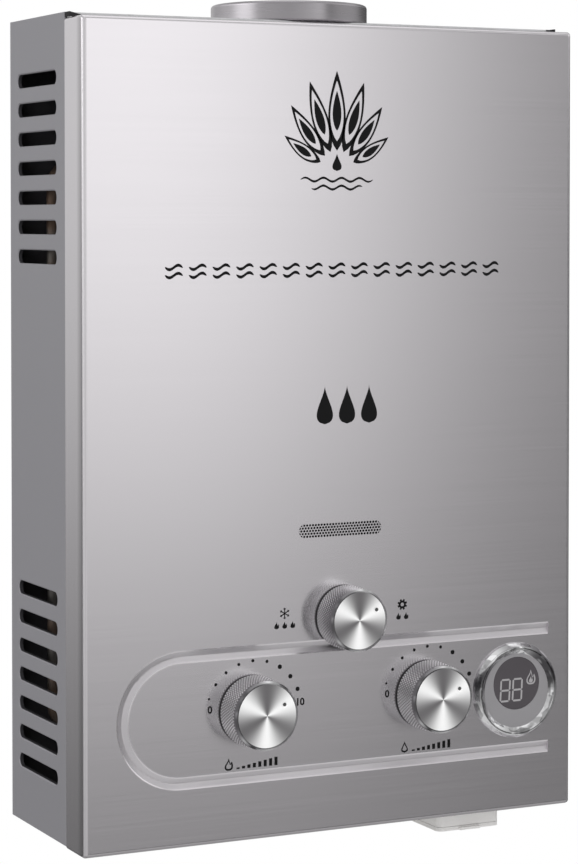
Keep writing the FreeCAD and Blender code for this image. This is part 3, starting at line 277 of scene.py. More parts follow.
# ---------------------------------------------------------------- threaded connections
# Three brass unions under the case, G 1/2 (14 threads to the inch): a hexagon that bears on the
# bottom panel, a cut thread below it and a plain spigot that runs up into the valve or pipe.
THREAD_CREST, THREAD_DEPTH, THREAD_PITCH, THREAD_LENGTH = 0.01046, 0.00116, 0.001814, 0.016
THREAD_FLANK, THREAD_ROUND, THREAD_ROWS = 2.6, 0.8, 70
HEX_HALF, HEX_HEIGHT, SPIGOT, BORE = 0.0135, 0.004, 0.01008, 0.007


def polar(centre, radius, angle):
    return centre[0] + radius * math.cos(angle), centre[1] + radius * math.sin(angle)


def bridge(shape, first, second):
    """Joins two rings of as many points each with faces."""
    for i in range(len(first)):
        k = (i + 1) % len(first)
        shape.faces.new((first[i], first[k], second[k], second[i]))


def tube(shape, centre, outer, bore, low, high, rows, around=72):
    """Adds an upright tube whose outside follows outer(angle, height)."""
    rings = []
    for row in range(rows + 1):
        z = low + (high - low) * row / rows
        rings.append([(outer(2 * math.pi * i / around, z), z) for i in range(around)])
    rings.append([(bore, high)] * around)
    rings.append([(bore, low)] * around)
    made = [[shape.verts.new((*polar(centre, r, 2 * math.pi * i / around), z))
             for i, (r, z) in enumerate(ring)] for ring in rings]
    for lower, upper in zip(made, made[1:] + made[:1]):
        bridge(shape, lower, upper)


def linked(name, data):
    """A new object in the scene."""
    made = bpy.data.objects.new(name, data)
    bpy.context.scene.collection.objects.link(made)
    return made


def as_mesh(name, shape):
    bmesh.ops.recalc_face_normals(shape, faces=shape.faces)
    mesh = bpy.data.meshes.new(name)
    shape.to_mesh(mesh)
    shape.free()
    return mesh


def piece(name, shape, material, body, smooth_angle=30.0):
    """Turns a finished shape into a piece of the heater that rides on a body."""
    mesh = as_mesh(name, shape)
    mesh.materials.append(material)
    mesh.set_sharp_from_angle(angle=math.radians(smooth_angle))
    made = linked(name, mesh)
    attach(made, body)
    return made


def thread(angle, z):
    turn = (z / THREAD_PITCH - angle / (2 * math.pi)) % 1.0
    return THREAD_CREST - THREAD_DEPTH * min(1.0, THREAD_FLANK * abs(turn - 0.5)) ** THREAD_ROUND


def hexagon(angle, z):
    return HEX_HALF / math.cos((angle + math.pi / 6) % (math.pi / 3) - math.pi / 6)


for node in ("gas_inlet", "cold_inlet", "hot_outlet"):
    low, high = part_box(node)
    middle = (low + high) / 2
    shoulder = low.z + THREAD_LENGTH
    union = bmesh.new()
    tube(union, middle, thread, BORE, low.z, shoulder, THREAD_ROWS)
    tube(union, middle, hexagon, BORE, shoulder, shoulder + HEX_HEIGHT, 1)
    tube(union, middle, lambda angle, z: SPIGOT, BORE, shoulder + HEX_HEIGHT, high.z, 1)
    union = piece(node + "_union", union, brass, "heater")
    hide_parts(node)


# ---------------------------------------------------------------- battery box and lid
# Cream ABS moulding hung through the bottom panel, open below, with a hinged lid: a fine spark
# texture from the mould, a little glossier where it is handled.
CREAM = (0.90, 0.888, 0.870)
cream = grained("cream_moulding", CREAM, 0.42, cloud=0.025, cloud_scale=18.0, grain_scale=1400.0,
                depth=0.00004)
dress(cream, "battery_box", "battery_lid")


# ---------------------------------------------------------------- front cover
# A drawn tray of 0.8 mm stainless sheet, brushed along its width, with one pressed line round
# the controls. The brushing shows as very fine level streaks that spread the light upwards. The
# folds at the sides and at the foot, and the pressed line, carry painted shade, darker in colour;
# the pressed line is also rougher.
BRUSHED = (0.83, 0.802, 0.83)
STREAK, HAIR = (2.5, 2.5, 900.0), (14.0, 14.0, 3200.0)
UPRIGHT_STREAK, UPRIGHT_GAIN, EDGE_X = (900.0, 900.0, 2.5), 1.3, (0.2008, 0.2022)
SIDE_FOLD, SIDE_FROM, SIDE_FOLD_SHADE = (0.0030, 0.0125), (0.2021, 0.2029), 0.36
FOOT_FOLD, FOOT_DEEP, FOOT_FOLD_SHADE = (0.0016, 0.0034), (0.0035, 0.0060), 0.50
GROOVE_X, GROOVE_Z, GROOVE_DEEP = (0.190, 0.194), (0.150, 0.160), (0.0002, 0.0008)
GROOVE_SOFT, GROOVE_SHADE = 0.22, 0.05
face_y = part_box("front_cover")[0].y
cover_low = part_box("front_cover")[0].z


def brushed_steel(bench):
    at = bench.place()
    x, y, z = bench.axes(at)
    side = bench.smooth(bench.maths("ABSOLUTE", x), *EDGE_X)
    # Painted shade: the side flanges are darkened next to the front fold, and the lower fold is darkened.
    outward = bench.smooth(bench.maths("ABSOLUTE", x), *SIDE_FROM)
    fold = outward * SIDE_FOLD_SHADE * (1 - bench.smooth(y - face_y, *SIDE_FOLD))
    foot = (1 - bench.smooth(z - cover_low, *FOOT_FOLD)) * (1 - bench.smooth(y - face_y, *FOOT_DEEP))
    level_in = 1 - bench.smooth(bench.maths("ABSOLUTE", x), *GROOVE_X)
    height_in = 1 - bench.smooth(z - cover_low, *GROOVE_Z)
    # Painted shade inside the pressed line: its colour is a little darker there, and it is rougher.
    groove = level_in * height_in * bench.smooth(y - face_y, *GROOVE_DEEP) * (1 - foot)
    level = bench.noise(bench.moved(at, scale=STREAK), 1.0, 3.0)
    upright = bench.noise(bench.moved(at, scale=UPRIGHT_STREAK), 1.0, 3.0)
    streak = level + (upright * UPRIGHT_GAIN - level) * side
    hair = bench.noise(bench.moved(at, scale=HAIR), 1.0, 2.0)
    cloud = bench.noise(at, 5.0, 2.0)
    tone = (0.955 + streak * 0.04 + hair * 0.03 + cloud * 0.02) * (1 - fold) * (1 - foot * FOOT_FOLD_SHADE)
    tone = tone * (1 - groove * GROOVE_SHADE)
    return {"Base Color": bench.tint(BRUSHED, tone),
            "Metallic": 1.0, "Roughness": 0.15 + streak * 0.05 + hair * 0.04 + groove * GROOVE_SOFT,
            "Anisotropic": 0.65, "Anisotropic Rotation": 0.25,
            "Normal": bench.bump(hair, 0.12, 0.00001)}


brushed = finish("brushed_steel", brushed_steel)
dress(brushed, "front_cover")


# ---------------------------------------------------------------- sight window screen
# Perforated stainless plate behind a long slot, so that the flame can be seen: 1.8 mm holes,
# staggered, 2.4 mm apart. Its raised pad fills the slot and its flange lies behind the cover.
PERFORATION = {"Hole radius": 0.00090, "Pitch": 0.0024, "Columns": 34, "Rows": 9, "Depth": 0.004}
SCREEN_PAD, SCREEN_FLANGE, HOLE_SIDES = 0.0008, 0.0040, 12
ROWS_UP = 100          # even, and enough for every row's number to be positive


def grown(name, base, build, material, inputs):
    """Runs one node tree over a base shape and gives its result as a plain mesh."""
    group = bpy.data.node_groups.new(name, "GeometryNodeTree")
    group.interface.new_socket("Base", in_out="INPUT", socket_type="NodeSocketGeometry")
    group.interface.new_socket("Made", in_out="OUTPUT", socket_type="NodeSocketGeometry")
    kinds = {int: "NodeSocketInt", float: "NodeSocketFloat", tuple: "NodeSocketVector"}
    keys = {label: group.interface.new_socket(
        label, in_out="INPUT", socket_type=kinds[type(value)]).identifier for label, value in inputs.items()}
    bench = Bench(group)
    entry = group.nodes.new("NodeGroupInput")
    ports = {socket.name: Port(bench, socket) for socket in entry.outputs if socket.name}
    shape = build(bench, ports)
    plain = bench.node("GeometryNodeRealizeInstances", {}, {0: shape})
    dressed = bench.node("GeometryNodeSetMaterial", {}, {"Geometry": plain, "Material": material})
    group.links.new(dressed.socket, group.nodes.new("NodeGroupOutput").inputs[0])
    made = linked(name, base)
    modifier = made.modifiers.new(name, "NODES")
    modifier.node_group = group
    for label, value in inputs.items():
        modifier[keys[label]] = value
    graph = bpy.context.evaluated_depsgraph_get()
    mesh = bpy.data.meshes.new_from_object(made.evaluated_get(graph))
    made.modifiers.clear()
    made.data = mesh
    return made


def obround(length, height, centre, steps=14):
    """Points of a slot with round ends, in the plane of the cover."""
    r, points = height / 2, []
    for side in (1, -1):
        end = (centre[0] + side * (length / 2 - r), centre[1])
        points += [polar(end, side * r, math.pi * (i / steps - 0.5)) for i in range(steps + 1)]
    return points


def slab(shape, outline, front, back):
    """Adds a flat plate between two depths."""
    ends = [[shape.verts.new((x, y, z)) for x, z in outline] for y in (front, back)]
    shape.faces.new(ends[0])
    shape.faces.new(ends[1][::-1])
    bridge(shape, *ends)


def perforate(bench, ports):
    pitch = ports["Pitch"]
    step = pitch * math.sin(math.radians(60))
    grid = bench.node("GeometryNodeMeshGrid", {}, {
        "Vertices X": ports["Columns"], "Vertices Y": ports["Rows"],
        "Size X": pitch * (ports["Columns"] - 1), "Size Y": step * (ports["Rows"] - 1)})
    row = bench.axes(bench.node("GeometryNodeInputPosition"))[1] / step + ROWS_UP
    stagger = (bench.maths("ROUND", row) % 2) * pitch / 2
    rows = bench.node("GeometryNodeSetPosition", {}, {"Geometry": grid, "Offset": bench.vector(X=stagger)})
    punch = bench.node("GeometryNodeMeshCylinder", {}, {
        "Vertices": HOLE_SIDES, "Radius": ports["Hole radius"], "Depth": ports["Depth"]})
    holes = bench.node("GeometryNodeInstanceOnPoints", {}, {"Points": rows, "Instance": punch})
    holes = bench.node("GeometryNodeTransform", {}, {
        "Geometry": bench.node("GeometryNodeRealizeInstances", {}, {0: holes}),
        "Translation": ports["Centre"], "Rotation": (math.pi / 2, 0, 0)})
    return bench.node("GeometryNodeMeshBoolean", {"operation": "DIFFERENCE", "solver": "EXACT"},
                      {"Mesh 1": ports["Base"], "Mesh 2": holes})


low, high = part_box("sight_screen")
middle = (low + high) / 2
wide, tall, step_y = high.x - low.x, high.z - low.z, low.y + SCREEN_PAD
pad = obround(wide - 2 * SCREEN_FLANGE, tall - 2 * SCREEN_FLANGE, (middle.x, middle.z))
flange = obround(wide, tall, (middle.x, middle.z))
plate = bmesh.new()
rings = [[plate.verts.new((x, y, z)) for x, z in outline]
         for outline, y in ((pad, low.y), (pad, step_y), (flange, step_y), (flange, high.y))]
plate.faces.new(rings[0])
plate.faces.new(rings[-1][::-1])
for front, back in zip(rings, rings[1:]):
    bridge(plate, front, back)
screen = grown("perforated_screen", as_mesh("screen_plate", plate), perforate, brushed,
               {**PERFORATION, "Centre": tuple(middle)})
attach(screen, "heater")
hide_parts("sight_screen")


# ---------------------------------------------------------------- temperature display
# A chromed ring snapped into the cover holds a silver-grey dial with a round smoked lens over
# two seven-segment digits and a flame sign. The circuit board sits in a black cup behind.
CHROME, RING_WAVE, RING_DEPTH = (0.86, 0.86, 0.87), 75.0, 0.0022
# Painted reflections of the ring: bright lobes and patches over a dark tone, set into its colour.
RING_PAINTED_LOBES = ((124.0, 17.0, 1.2), (234.0, 36.0, 1.5), (300.0, 24.0, 0.8), (340.0, 24.0, 0.7),
              (84.0, 18.0, 0.9))
RING_PAINTED_DARK, RING_PATCH, PATCH_EDGE = (0.085, 0.083, 0.088, 1), (2.6, 300.0), (0.44, 0.56)
GLOW_LEAST, GLOW_PATCH, PATCH_GLOW = 0.60, 0.60, 0.42
DIAL_GREY, SMOKE, DIGIT_GREY = (0.33, 0.322, 0.335), (0.076, 0.069, 0.076), (0.36, 0.35, 0.36)
BOARD_GREEN, BOARD_TRACE, TRACE_SCALE = (0.02, 0.10, 0.04, 1), (0.05, 0.20, 0.08, 1), 220.0
dial_grey = grained("silver_grey_moulding", DIAL_GREY, 0.38, 0.3, cloud=0.03, cloud_scale=40.0,
                    grain_scale=2200.0, depth=0.00002)
smoke = grained("smoked_lens", SMOKE, 0.16, cloud=0.05, cloud_scale=30.0, depth=0.000002, IOR=1.49)
digit_ink = grained("digit_segments", DIGIT_GREY, 0.5, cloud=0.05, cloud_scale=60.0, depth=0.000004)


def gathered(bench, x, z, lobes):
    """Lobes of light round an axis, each a bearing, a width and a peak."""
    angle, glow = bench.maths("ARCTAN2", z, x), 0.0
    for degrees, width, peak in lobes:
        off = bench.maths("COSINE", angle - math.radians(degrees))
        sharp = 1.0 / (1.0 - math.cos(math.radians(width)))
        glow = bench.maths("EXPONENT", (off - 1) * sharp) * peak + glow
    return glow


def chromed_ring(bench):
    """Chrome with its reflections painted in: lobes and patches of painted highlight over a dark painted
    tone, on a moulded ring that was not quite smooth.
    """
    at = bench.place()
    x, y, z = bench.axes(bench.moved(at, location=(-RING_X, 0, -RING_Z)))
    glow = gathered(bench, x, z, RING_PAINTED_LOBES)
    wave = bench.noise(at, RING_WAVE)
    radius = bench.length(x, z)
    round_it = bench.vector(X=x / radius * RING_PATCH[0], Y=radius * RING_PATCH[1],
                            Z=z / radius * RING_PATCH[0])
    patch = bench.smooth(bench.noise(round_it, 1.0, 0.5), *PATCH_EDGE)
    share = bench.maths("MINIMUM", glow * (GLOW_LEAST + patch * GLOW_PATCH) + patch * PATCH_GLOW, 1.0)
    return {"Base Color": bench.mix(share, RING_PAINTED_DARK, (*CHROME, 1)), "Metallic": 1.0,
            "Roughness": 0.05 + wave * 0.04, "Normal": bench.bump(wave, 0.6, RING_DEPTH)}


def circuit_board(bench):
    at = bench.place()
    trace = bench.node("ShaderNodeTexBrick", {"offset": 0.3}, {
        "Vector": at, "Scale": TRACE_SCALE, "Mortar Size": 0.03}, 1)
    return {"Base Color": bench.mix(trace, BOARD_GREEN, BOARD_TRACE), "Roughness": 0.35 + trace * 0.2,
            "Normal": bench.bump(trace, 0.3, 0.00003)}


low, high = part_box("display_bezel")
RING_X, RING_Z = (low.x + high.x) / 2, (low.z + high.z) / 2
dress(finish("chromed_ring", chromed_ring), "display_bezel")
dress(dial_grey, "display_face")
dress(smoke, "display_lens")
dress(finish("circuit_board", circuit_board), "display_board")

low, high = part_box("display_lens")
LENS_X, LENS_Z = (low.x + high.x) / 2, (low.z + high.z) / 2
LENS_FRONT = low.y
INK, INK_ROOT = 0.00008, 0.0001
DIGIT_W, DIGIT_H, SEGMENT, SEGMENT_GAP, SLANT = 0.0078, 0.0165, 0.0014, 0.00025, 0.05
DIGITS_X, DIGITS_DOWN = (-0.0100, 0.0008), 0.0050
FLAME_X, FLAME_Z, FLAME_W, FLAME_H = 0.0129, -0.0020, 0.0080, 0.0115
FLAME_WALL, FLAME_MIDDLE, CORE_W, CORE_H, CORE_UP = 0.74, 0.4, 0.40, 0.42, 0.13


def shift(points, dx, dz):
    return [(x + dx, z + dz) for x, z in points]


def laid(start, end, outline):
    """Points along and across a line from start to end, put in the plane of the cover."""
    length = math.dist(start, end)
    ux, uz = (end[0] - start[0]) / length, (end[1] - start[1]) / length
    return [(start[0] + s * ux - w * uz, start[1] + s * uz + w * ux) for s, w in outline]


def bar(start, end, width, gap):
    """A segment with pointed ends, a gap short of the start and the end."""
    h, near, far = width / 2, gap, math.dist(start, end) - gap
    return laid(start, end, [(near, 0), (near + h, h), (far - h, h), (far, 0), (far - h, -h), (near + h, -h)])


def eight(centre_x, centre_z):
    """The seven segments of one digit, all lit."""
    w, h = DIGIT_W / 2, DIGIT_H / 2
    corners = [(-w, h), (w, h), (-w, 0), (w, 0), (-w, -h), (w, -h)]
    runs = [(0, 1), (2, 3), (4, 5), (0, 2), (1, 3), (2, 4), (3, 5)]
    segments = []
    for a, b in runs:
        outline = bar(corners[a], corners[b], SEGMENT, SEGMENT_GAP)
        segments.append([(centre_x + x + SLANT * z, centre_z + z) for x, z in outline])
    return segments


FLAME = ((0.00, 0.00), (0.28, 0.02), (0.47, 0.14), (0.53, 0.34), (0.48, 0.54), (0.38, 0.72), (0.38, 0.72),
         (0.30, 0.56), (0.20, 0.44), (0.14, 0.70), (-0.02, 1.00), (-0.02, 1.00), (-0.10, 0.78), (-0.32, 0.58),
         (-0.50, 0.36), (-0.48, 0.15), (-0.27, 0.02))


def flame(width, height):
    """Outline of a flame with its foot at the middle: two tongues over a round belly."""
    line = [(x * width, z * height) for x, z in FLAME]
    for turn in range(2):
        line = [(a[0] + (b[0] - a[0]) * t, a[1] + (b[1] - a[1]) * t)
                for a, b in zip(line, line[1:] + line[:1]) for t in (0.25, 0.75)]
    return line


def hollow(shape, outer, inner, front, back):
    """Adds a plate between two outlines with as many points each."""
    rings = [[shape.verts.new((x, y, z)) for x, z in line] for line in (outer, inner) for y in (front, back)]
    for first, second in ((0, 1), (1, 3), (3, 2), (2, 0)):
        bridge(shape, rings[first], rings[second])


def scaled(points, by, about=(0, 0)):
    return [(about[0] + (x - about[0]) * by, about[1] + (z - about[1]) * by) for x, z in points]


digits = bmesh.new()
ink_depths = (LENS_FRONT - INK, LENS_FRONT + INK_ROOT)
for digit_x in DIGITS_X:
    for outline in eight(LENS_X + digit_x, LENS_Z - DIGITS_DOWN):
        slab(digits, outline, *ink_depths)
foot = (LENS_X + FLAME_X, LENS_Z + FLAME_Z)
sign = shift(flame(FLAME_W, FLAME_H), *foot)
hollow(digits, sign, scaled(sign, FLAME_WALL, (foot[0], foot[1] + FLAME_MIDDLE * FLAME_H)), *ink_depths)
core = shift(flame(CORE_W * FLAME_W, CORE_H * FLAME_H), foot[0], foot[1] + CORE_UP * FLAME_H)
slab(digits, core, *ink_depths)
piece("display_digits", digits, digit_ink, "heater")


# ---------------------------------------------------------------- knobs
# Turned and plated knobs pushed on the spindles, each over a black ring that is painted shade
# for the gap under its skirt: a diamond-knurled skirt with painted light on its peaks and painted
# shade in its grooves, a chamfer with painted reflections, and a spun disc let into the face, with
# fine turning rings and three lobes of painted highlight.
KNOBS = {"gas": "gas_control", "water": "water_control", "season": "season_control"}
KNURLS, KNURL_ROWS = 72, 6
KNURL_DEPTH, KNURL_FOOT, KNURL_TOP = 0.00055, 0.0005, 0.0024
SKIRT_STEEL, CAP_BRIGHT, CAP_DARK = (0.47, 0.465, 0.475), (1.0, 1.0, 1.0, 1), (0.085, 0.080, 0.085, 1)
CAP_PAINTED_LOBES = ((25.0, 34.0, 1.0), (150.0, 30.0, 0.95), (268.0, 32.0, 1.0))
CHAMFER_PAINTED_LOBES = ((80.0, 17.0, 1.0), (222.0, 9.0, 0.5), (275.0, 24.0, 0.6), (352.0, 40.0, 0.8))
CHAMFER_PAINTED_DARK = (0.21, 0.205, 0.215, 1)
SHADE_RING_IN, SHADE_RING_T, SHADE_RING_BORE = 0.0003, 0.0007, 0.0046
INDEX_ANGLE, INDEX_OUT, INDEX_R = math.radians(27.0), 0.0160, 0.0016
TURNING, TURNING_LINES = 16000.0, 2600.0
SKIRT_TAPER, SLEEVE_T, SHADE_RING_SIDES = 0.0006, 0.001, 72
GAP_SHADE_TONE, DIMPLE = (0.008, 0.008, 0.008), (0.02, 0.02, 0.02, 1)


def knurled_plating(bench):
    """Peaks painted lighter and grooves painted darker, as painted highlight and shade; the peaks are also
    glossier.
    """
    peak = bench.node("ShaderNodeAttribute", {"attribute_name": "peak"}, out="Fac")
    cloud = bench.noise(bench.place(), 30.0, 3.0)
    return {"Base Color": bench.tint(SKIRT_STEEL, 0.40 + peak * 2.0 + cloud * 0.1), "Metallic": 1.0,
            "Roughness": 0.42 - peak * 0.14 + cloud * 0.06}


skirt_steel = finish("knurled_plating", knurled_plating)


def raise_knurl(bench, ports):
    """Lifts the peaks of the diamonds straight out from the knob's axis."""
    x, y, z = bench.axes(bench.node("GeometryNodeInputPosition"))
    cx, _, cz = bench.axes(ports["Centre"])
    out = bench.node("ShaderNodeVectorMath", {"operation": "NORMALIZE"}, {
        0: bench.vector(X=x - cx, Z=z - cz)})
    peak = bench.node("GeometryNodeInputNamedAttribute", {"data_type": "FLOAT"}, {"Name": "peak"})
    lift = bench.node("ShaderNodeVectorMath", {"operation": "SCALE"}, {
        0: out, "Scale": peak * ports["Depth"]})
    return bench.node("GeometryNodeSetPosition", {}, {"Geometry": ports["Base"], "Offset": lift})


def knurl_blank(name, centre, back, front, back_r, front_r):
    """A sleeve over the skirt, in diamonds whose middles are marked as peaks."""
    around, along = 2 * KNURLS, 2 * KNURL_ROWS
    rings = [(back + (front - back) * k / along, back_r + (front_r - back_r) * k / along)
             for k in range(along + 1)] + [(front, front_r - SLEEVE_T), (back, front_r - SLEEVE_T)]
    verts, faces, peaks = [], [], []
    for k, (y, r) in enumerate(rings):
        for i in range(around):
            x, z = polar((centre.x, centre.z), r, 2 * math.pi * i / around)
            verts.append((x, y, z))
            peaks.append(float((i + k) % 2 and 0 < k < along))
    for k in range(along + 3):
        for i in range(around):
            a, b = k * around + i, k * around + (i + 1) % around
            d = ((k + 1) % (along + 3)) * around + i
            c = d - i + (i + 1) % around
            if k < along and (i + k) % 2:
                faces += [(a, b, d), (b, c, d)]
            elif k < along:
                faces += [(a, b, c), (a, c, d)]
            else:
                faces.append((a, b, c, d))
    mesh = bpy.data.meshes.new(name)
    mesh.from_pydata(verts, [], faces)
    mesh.attributes.new("peak", "FLOAT", "POINT").data.foreach_set("value", peaks)
    return mesh


def turned_chrome(centre):
    """Chrome over a turned chamfer, with painted reflections: bright lobes, brightest at the top, over a dark
    tone.
    """
    def lay(bench):
        x, y, z = bench.axes(bench.moved(bench.place(), location=(-centre.x, 0, -centre.z)))
        glow = bench.maths("MINIMUM", gathered(bench, x, z, CHAMFER_PAINTED_LOBES), 1.0)
        fine = bench.noise(bench.place(), 900.0)
        return {"Base Color": bench.mix(glow, CHAMFER_PAINTED_DARK, (*CHROME, 1)), "Metallic": 1.0,
                "Roughness": 0.10 + fine * 0.05, "Normal": bench.bump(fine, 0.5, 0.000002)}
    return lay


def spun_cap(centre):
    """Painted highlight in bright lobes round the middle, fine turning rings, and a dark index dimple."""
    def lay(bench):
        x, y, z = bench.axes(bench.moved(bench.place(), location=(-centre.x, 0, -centre.z)))
        radius = bench.length(x, z)
        glow = gathered(bench, x, z, CAP_PAINTED_LOBES)
        ring = bench.maths("SINE", radius * TURNING)
        line = bench.noise(bench.vector(X=radius * TURNING_LINES), 1.0, 3.0)
        index_x, index_z = polar((0, 0), INDEX_OUT, INDEX_ANGLE)
        dimple = bench.length(x - index_x, z - index_z)
        mark = 1 - bench.smooth(dimple, INDEX_R * 0.75, INDEX_R)
        glow = bench.maths("MINIMUM", glow * (0.92 + line * 0.16), 1.0)
        tone = bench.mix(glow, CAP_DARK, CAP_BRIGHT)
        return {"Base Color": bench.mix(mark * 0.95, tone, DIMPLE), "Metallic": 0.08,
                "Roughness": 0.34 + line * 0.12, "Normal": bench.bump(ring * 0.5 + line, 0.12, 0.00001)}
    return lay


def disc(radius, centre, steps=20):
    return [polar(centre, radius, 2 * math.pi * i / steps) for i in range(steps)]


gap_shade_black = grained("black_felt", GAP_SHADE_TONE, 0.95, cloud=0.10, cloud_scale=200.0, grain_scale=2500.0,
               depth=0.00008)
for knob, body in KNOBS.items():
    low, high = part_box(knob + "_knob")
    centre = (low + high) / 2
    radius = (high.x - low.x) / 2
    blank = knurl_blank(knob + "_knurl", centre, high.y - KNURL_FOOT, low.y + KNURL_TOP, radius,
                        radius - SKIRT_TAPER)
    sleeve = grown(knob + "_knurl", blank, raise_knurl, skirt_steel,
                   {"Depth": KNURL_DEPTH, "Centre": tuple(centre)})
    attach(sleeve, body)
    dress(finish(knob + "_turned_chrome", turned_chrome(centre)), knob + "_knob")
    dress(finish(knob + "_spun_cap", spun_cap(centre)), knob + "_knob_cap")
    # A black ring under each skirt: painted shade for the dark gap between the skirt and the cover.
    shade_ring, middle = bmesh.new(), (centre.x, centre.z)
    hollow(shade_ring, disc(radius - SHADE_RING_IN, middle, SHADE_RING_SIDES), disc(SHADE_RING_BORE, middle, SHADE_RING_SIDES),
           face_y - SHADE_RING_T, face_y)
    piece(knob + "_felt_washer", shade_ring, gap_shade_black, "heater")


# ---------------------------------------------------------------- dial marks and signs
# Screen-printed in black on the cover: an arc of nine growing dots between 0 and 10 round each of
# the two lower knobs, a flame or a drop with eight rising bars below it; beside the season knob a
# snowflake over three small flames, and a sun over two.
BLACK_INK = (0.006, 0.006, 0.0065)
PRINT, PRINT_ROOT, BOLDER = 0.00006, 0.00005, 0.03
DROP_BELLY, DROP_POINT = 0.55, 0.35
DIAL_DOTS = {"Count": 9, "First": math.radians(160.3), "Last": math.radians(22.6), "Ring": 0.0385,
             "Small": 0.00085, "Middle": 0.0012, "Large": 0.0017}
DIAL_OFF, NUMBER_UP, NUMBER_H = (0.0020, 0.0022), 0.0026, 0.0074
NUMBER_OUT = {"gas": (-0.0335, 0.0395), "water": (-0.0335, 0.0330)}
LABEL, FLAME_ICON, DROP_ICON = (-0.0185, -0.0430), (0.0066, 0.0092), (0.0064, 0.0088)
ICON_WALL, ICON_MIDDLE, BARS_OFF = 0.62, 0.0036, (0.0075, 0.0006)
BARS, BAR_PITCH, BAR_W, BAR_LOW, BAR_HIGH = 8, 0.0044, 0.0025, 0.0012, 0.0062
SNOW, SNOW_R, SNOW_STROKE = (-0.0491, 0.0052), 0.0042, 0.00075
TWIG, TWIG_AT, TWIG_TURN, TWIG_STROKE = 0.30, 0.66, 50, 0.7
SUN, SUN_RING, SUN_SIDES = (0.0494, 0.0054), (0.0030, 0.0014), 24
SUN_TEETH, SUN_TOOTH = 8, (0.0028, 0.0041, 0.0015)
FLAMES_DOWN, SMALL_FLAME, SMALL_FLAME_PITCH = 0.0112, (0.0038, 0.0052), 0.0066
ink = grained("black_ink", BLACK_INK, 0.60, cloud=0.10, cloud_scale=60.0, grain_scale=1500.0, depth=0.00001,
              **{"Specular IOR Level": 0.15})


def printed(shape, outline):
    slab(shape, outline, face_y - PRINT, face_y + PRINT_ROOT)


def printed_ring(shape, outer, inner):
    hollow(shape, outer, inner, face_y - PRINT, face_y + PRINT_ROOT)


def stroke(start, end, width):
    h, far = width / 2, math.dist(start, end)
    return laid(start, end, [(0, h), (far, h), (far, -h), (0, -h)])


def figure(shape, sign, centre, height):
    """Adds a plain number, printed like the rest."""
    text = bpy.data.curves.new("number", "FONT")
    text.body, text.size, text.align_x, text.align_y = sign, height, "CENTER", "CENTER"
    text.extrude, text.offset = PRINT, BOLDER * height
    holder = bpy.data.objects.new("number", text)
    mesh = bpy.data.meshes.new_from_object(holder)
    mesh.transform(Matrix.Translation((centre[0], face_y, centre[1])) @ Matrix.Rotation(math.pi / 2, 4, "X"))
    shape.from_mesh(mesh)
    bpy.data.objects.remove(holder)


def drop(width, height, steps=12):
    """Outline of a drop with its foot at the middle: round below, pointed above."""
    right = []
    for i in range(steps + 1):
        t = i / steps
        right.append((width / 2 * math.sin(math.pi * t ** DROP_BELLY) * (1 - t) ** DROP_POINT, height * t))
    return right[:-1] + [(-x, z) for x, z in right[:0:-1]]


def copies(bench, ports, settings, **place):
    """Copies of the base shape, each at its own place round the centre."""
    where = bench.node("ShaderNodeVectorMath", {"operation": "ADD"}, {
        0: bench.vector(**place), 1: ports["Centre"]})
    points = bench.node("GeometryNodePoints", {}, {"Count": ports["Count"], "Position": where})
    return bench.node("GeometryNodeInstanceOnPoints", {}, {
        "Points": points, "Instance": ports["Base"], **settings})


def dial_arc(bench, ports):
    """Dots at equal angles on an arc, small at the first and large at the last three."""
    index = bench.node("GeometryNodeInputIndex")
    angle = ports["First"] + (ports["Last"] - ports["First"]) * index / (ports["Count"] - 1)
    size = (ports["Middle"] + (index < 0.5) * (ports["Small"] - ports["Middle"])
            + (index > ports["Count"] - 3.5) * (ports["Large"] - ports["Middle"]))
    level, upright = bench.maths("COSINE", angle), bench.maths("SINE", angle)
    return copies(bench, ports, {"Scale": bench.vector(X=size, Y=1.0, Z=size)},
                  X=level * ports["Ring"], Z=upright * ports["Ring"])


knob_centre = {}
for knob in KNOBS:
    low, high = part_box(knob + "_knob")
    knob_centre[knob] = ((low.x + high.x) / 2, (low.z + high.z) / 2)

marks = bmesh.new()
for knob, outline in (("gas", flame(*FLAME_ICON)), ("water", drop(*DROP_ICON))):
    cx, cz = knob_centre[knob]
    dot = bmesh.new()
    slab(dot, disc(1.0, (0, 0)), -PRINT, PRINT_ROOT)
    middle = (cx + DIAL_OFF[0], face_y, cz - DIAL_OFF[1])
    dots = grown(knob + "_dial_dots", as_mesh("dot", dot), dial_arc, ink, {**DIAL_DOTS, "Centre": middle})
    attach(dots, "heater")
    for sign, out in zip(("0", "10"), NUMBER_OUT[knob]):
        figure(marks, sign, (cx + out, cz + NUMBER_UP), NUMBER_H)
    foot = (cx + LABEL[0], cz + LABEL[1])
    icon = shift(outline, *foot)
    printed_ring(marks, icon, scaled(icon, ICON_WALL, (foot[0], foot[1] + ICON_MIDDLE)))
    for i in range(BARS):
        x, z = foot[0] + BARS_OFF[0] + BAR_PITCH * i, foot[1] + BARS_OFF[1]
        printed(marks, stroke((x, z), (x, z + BAR_LOW + (BAR_HIGH - BAR_LOW) * i / (BARS - 1)), BAR_W))

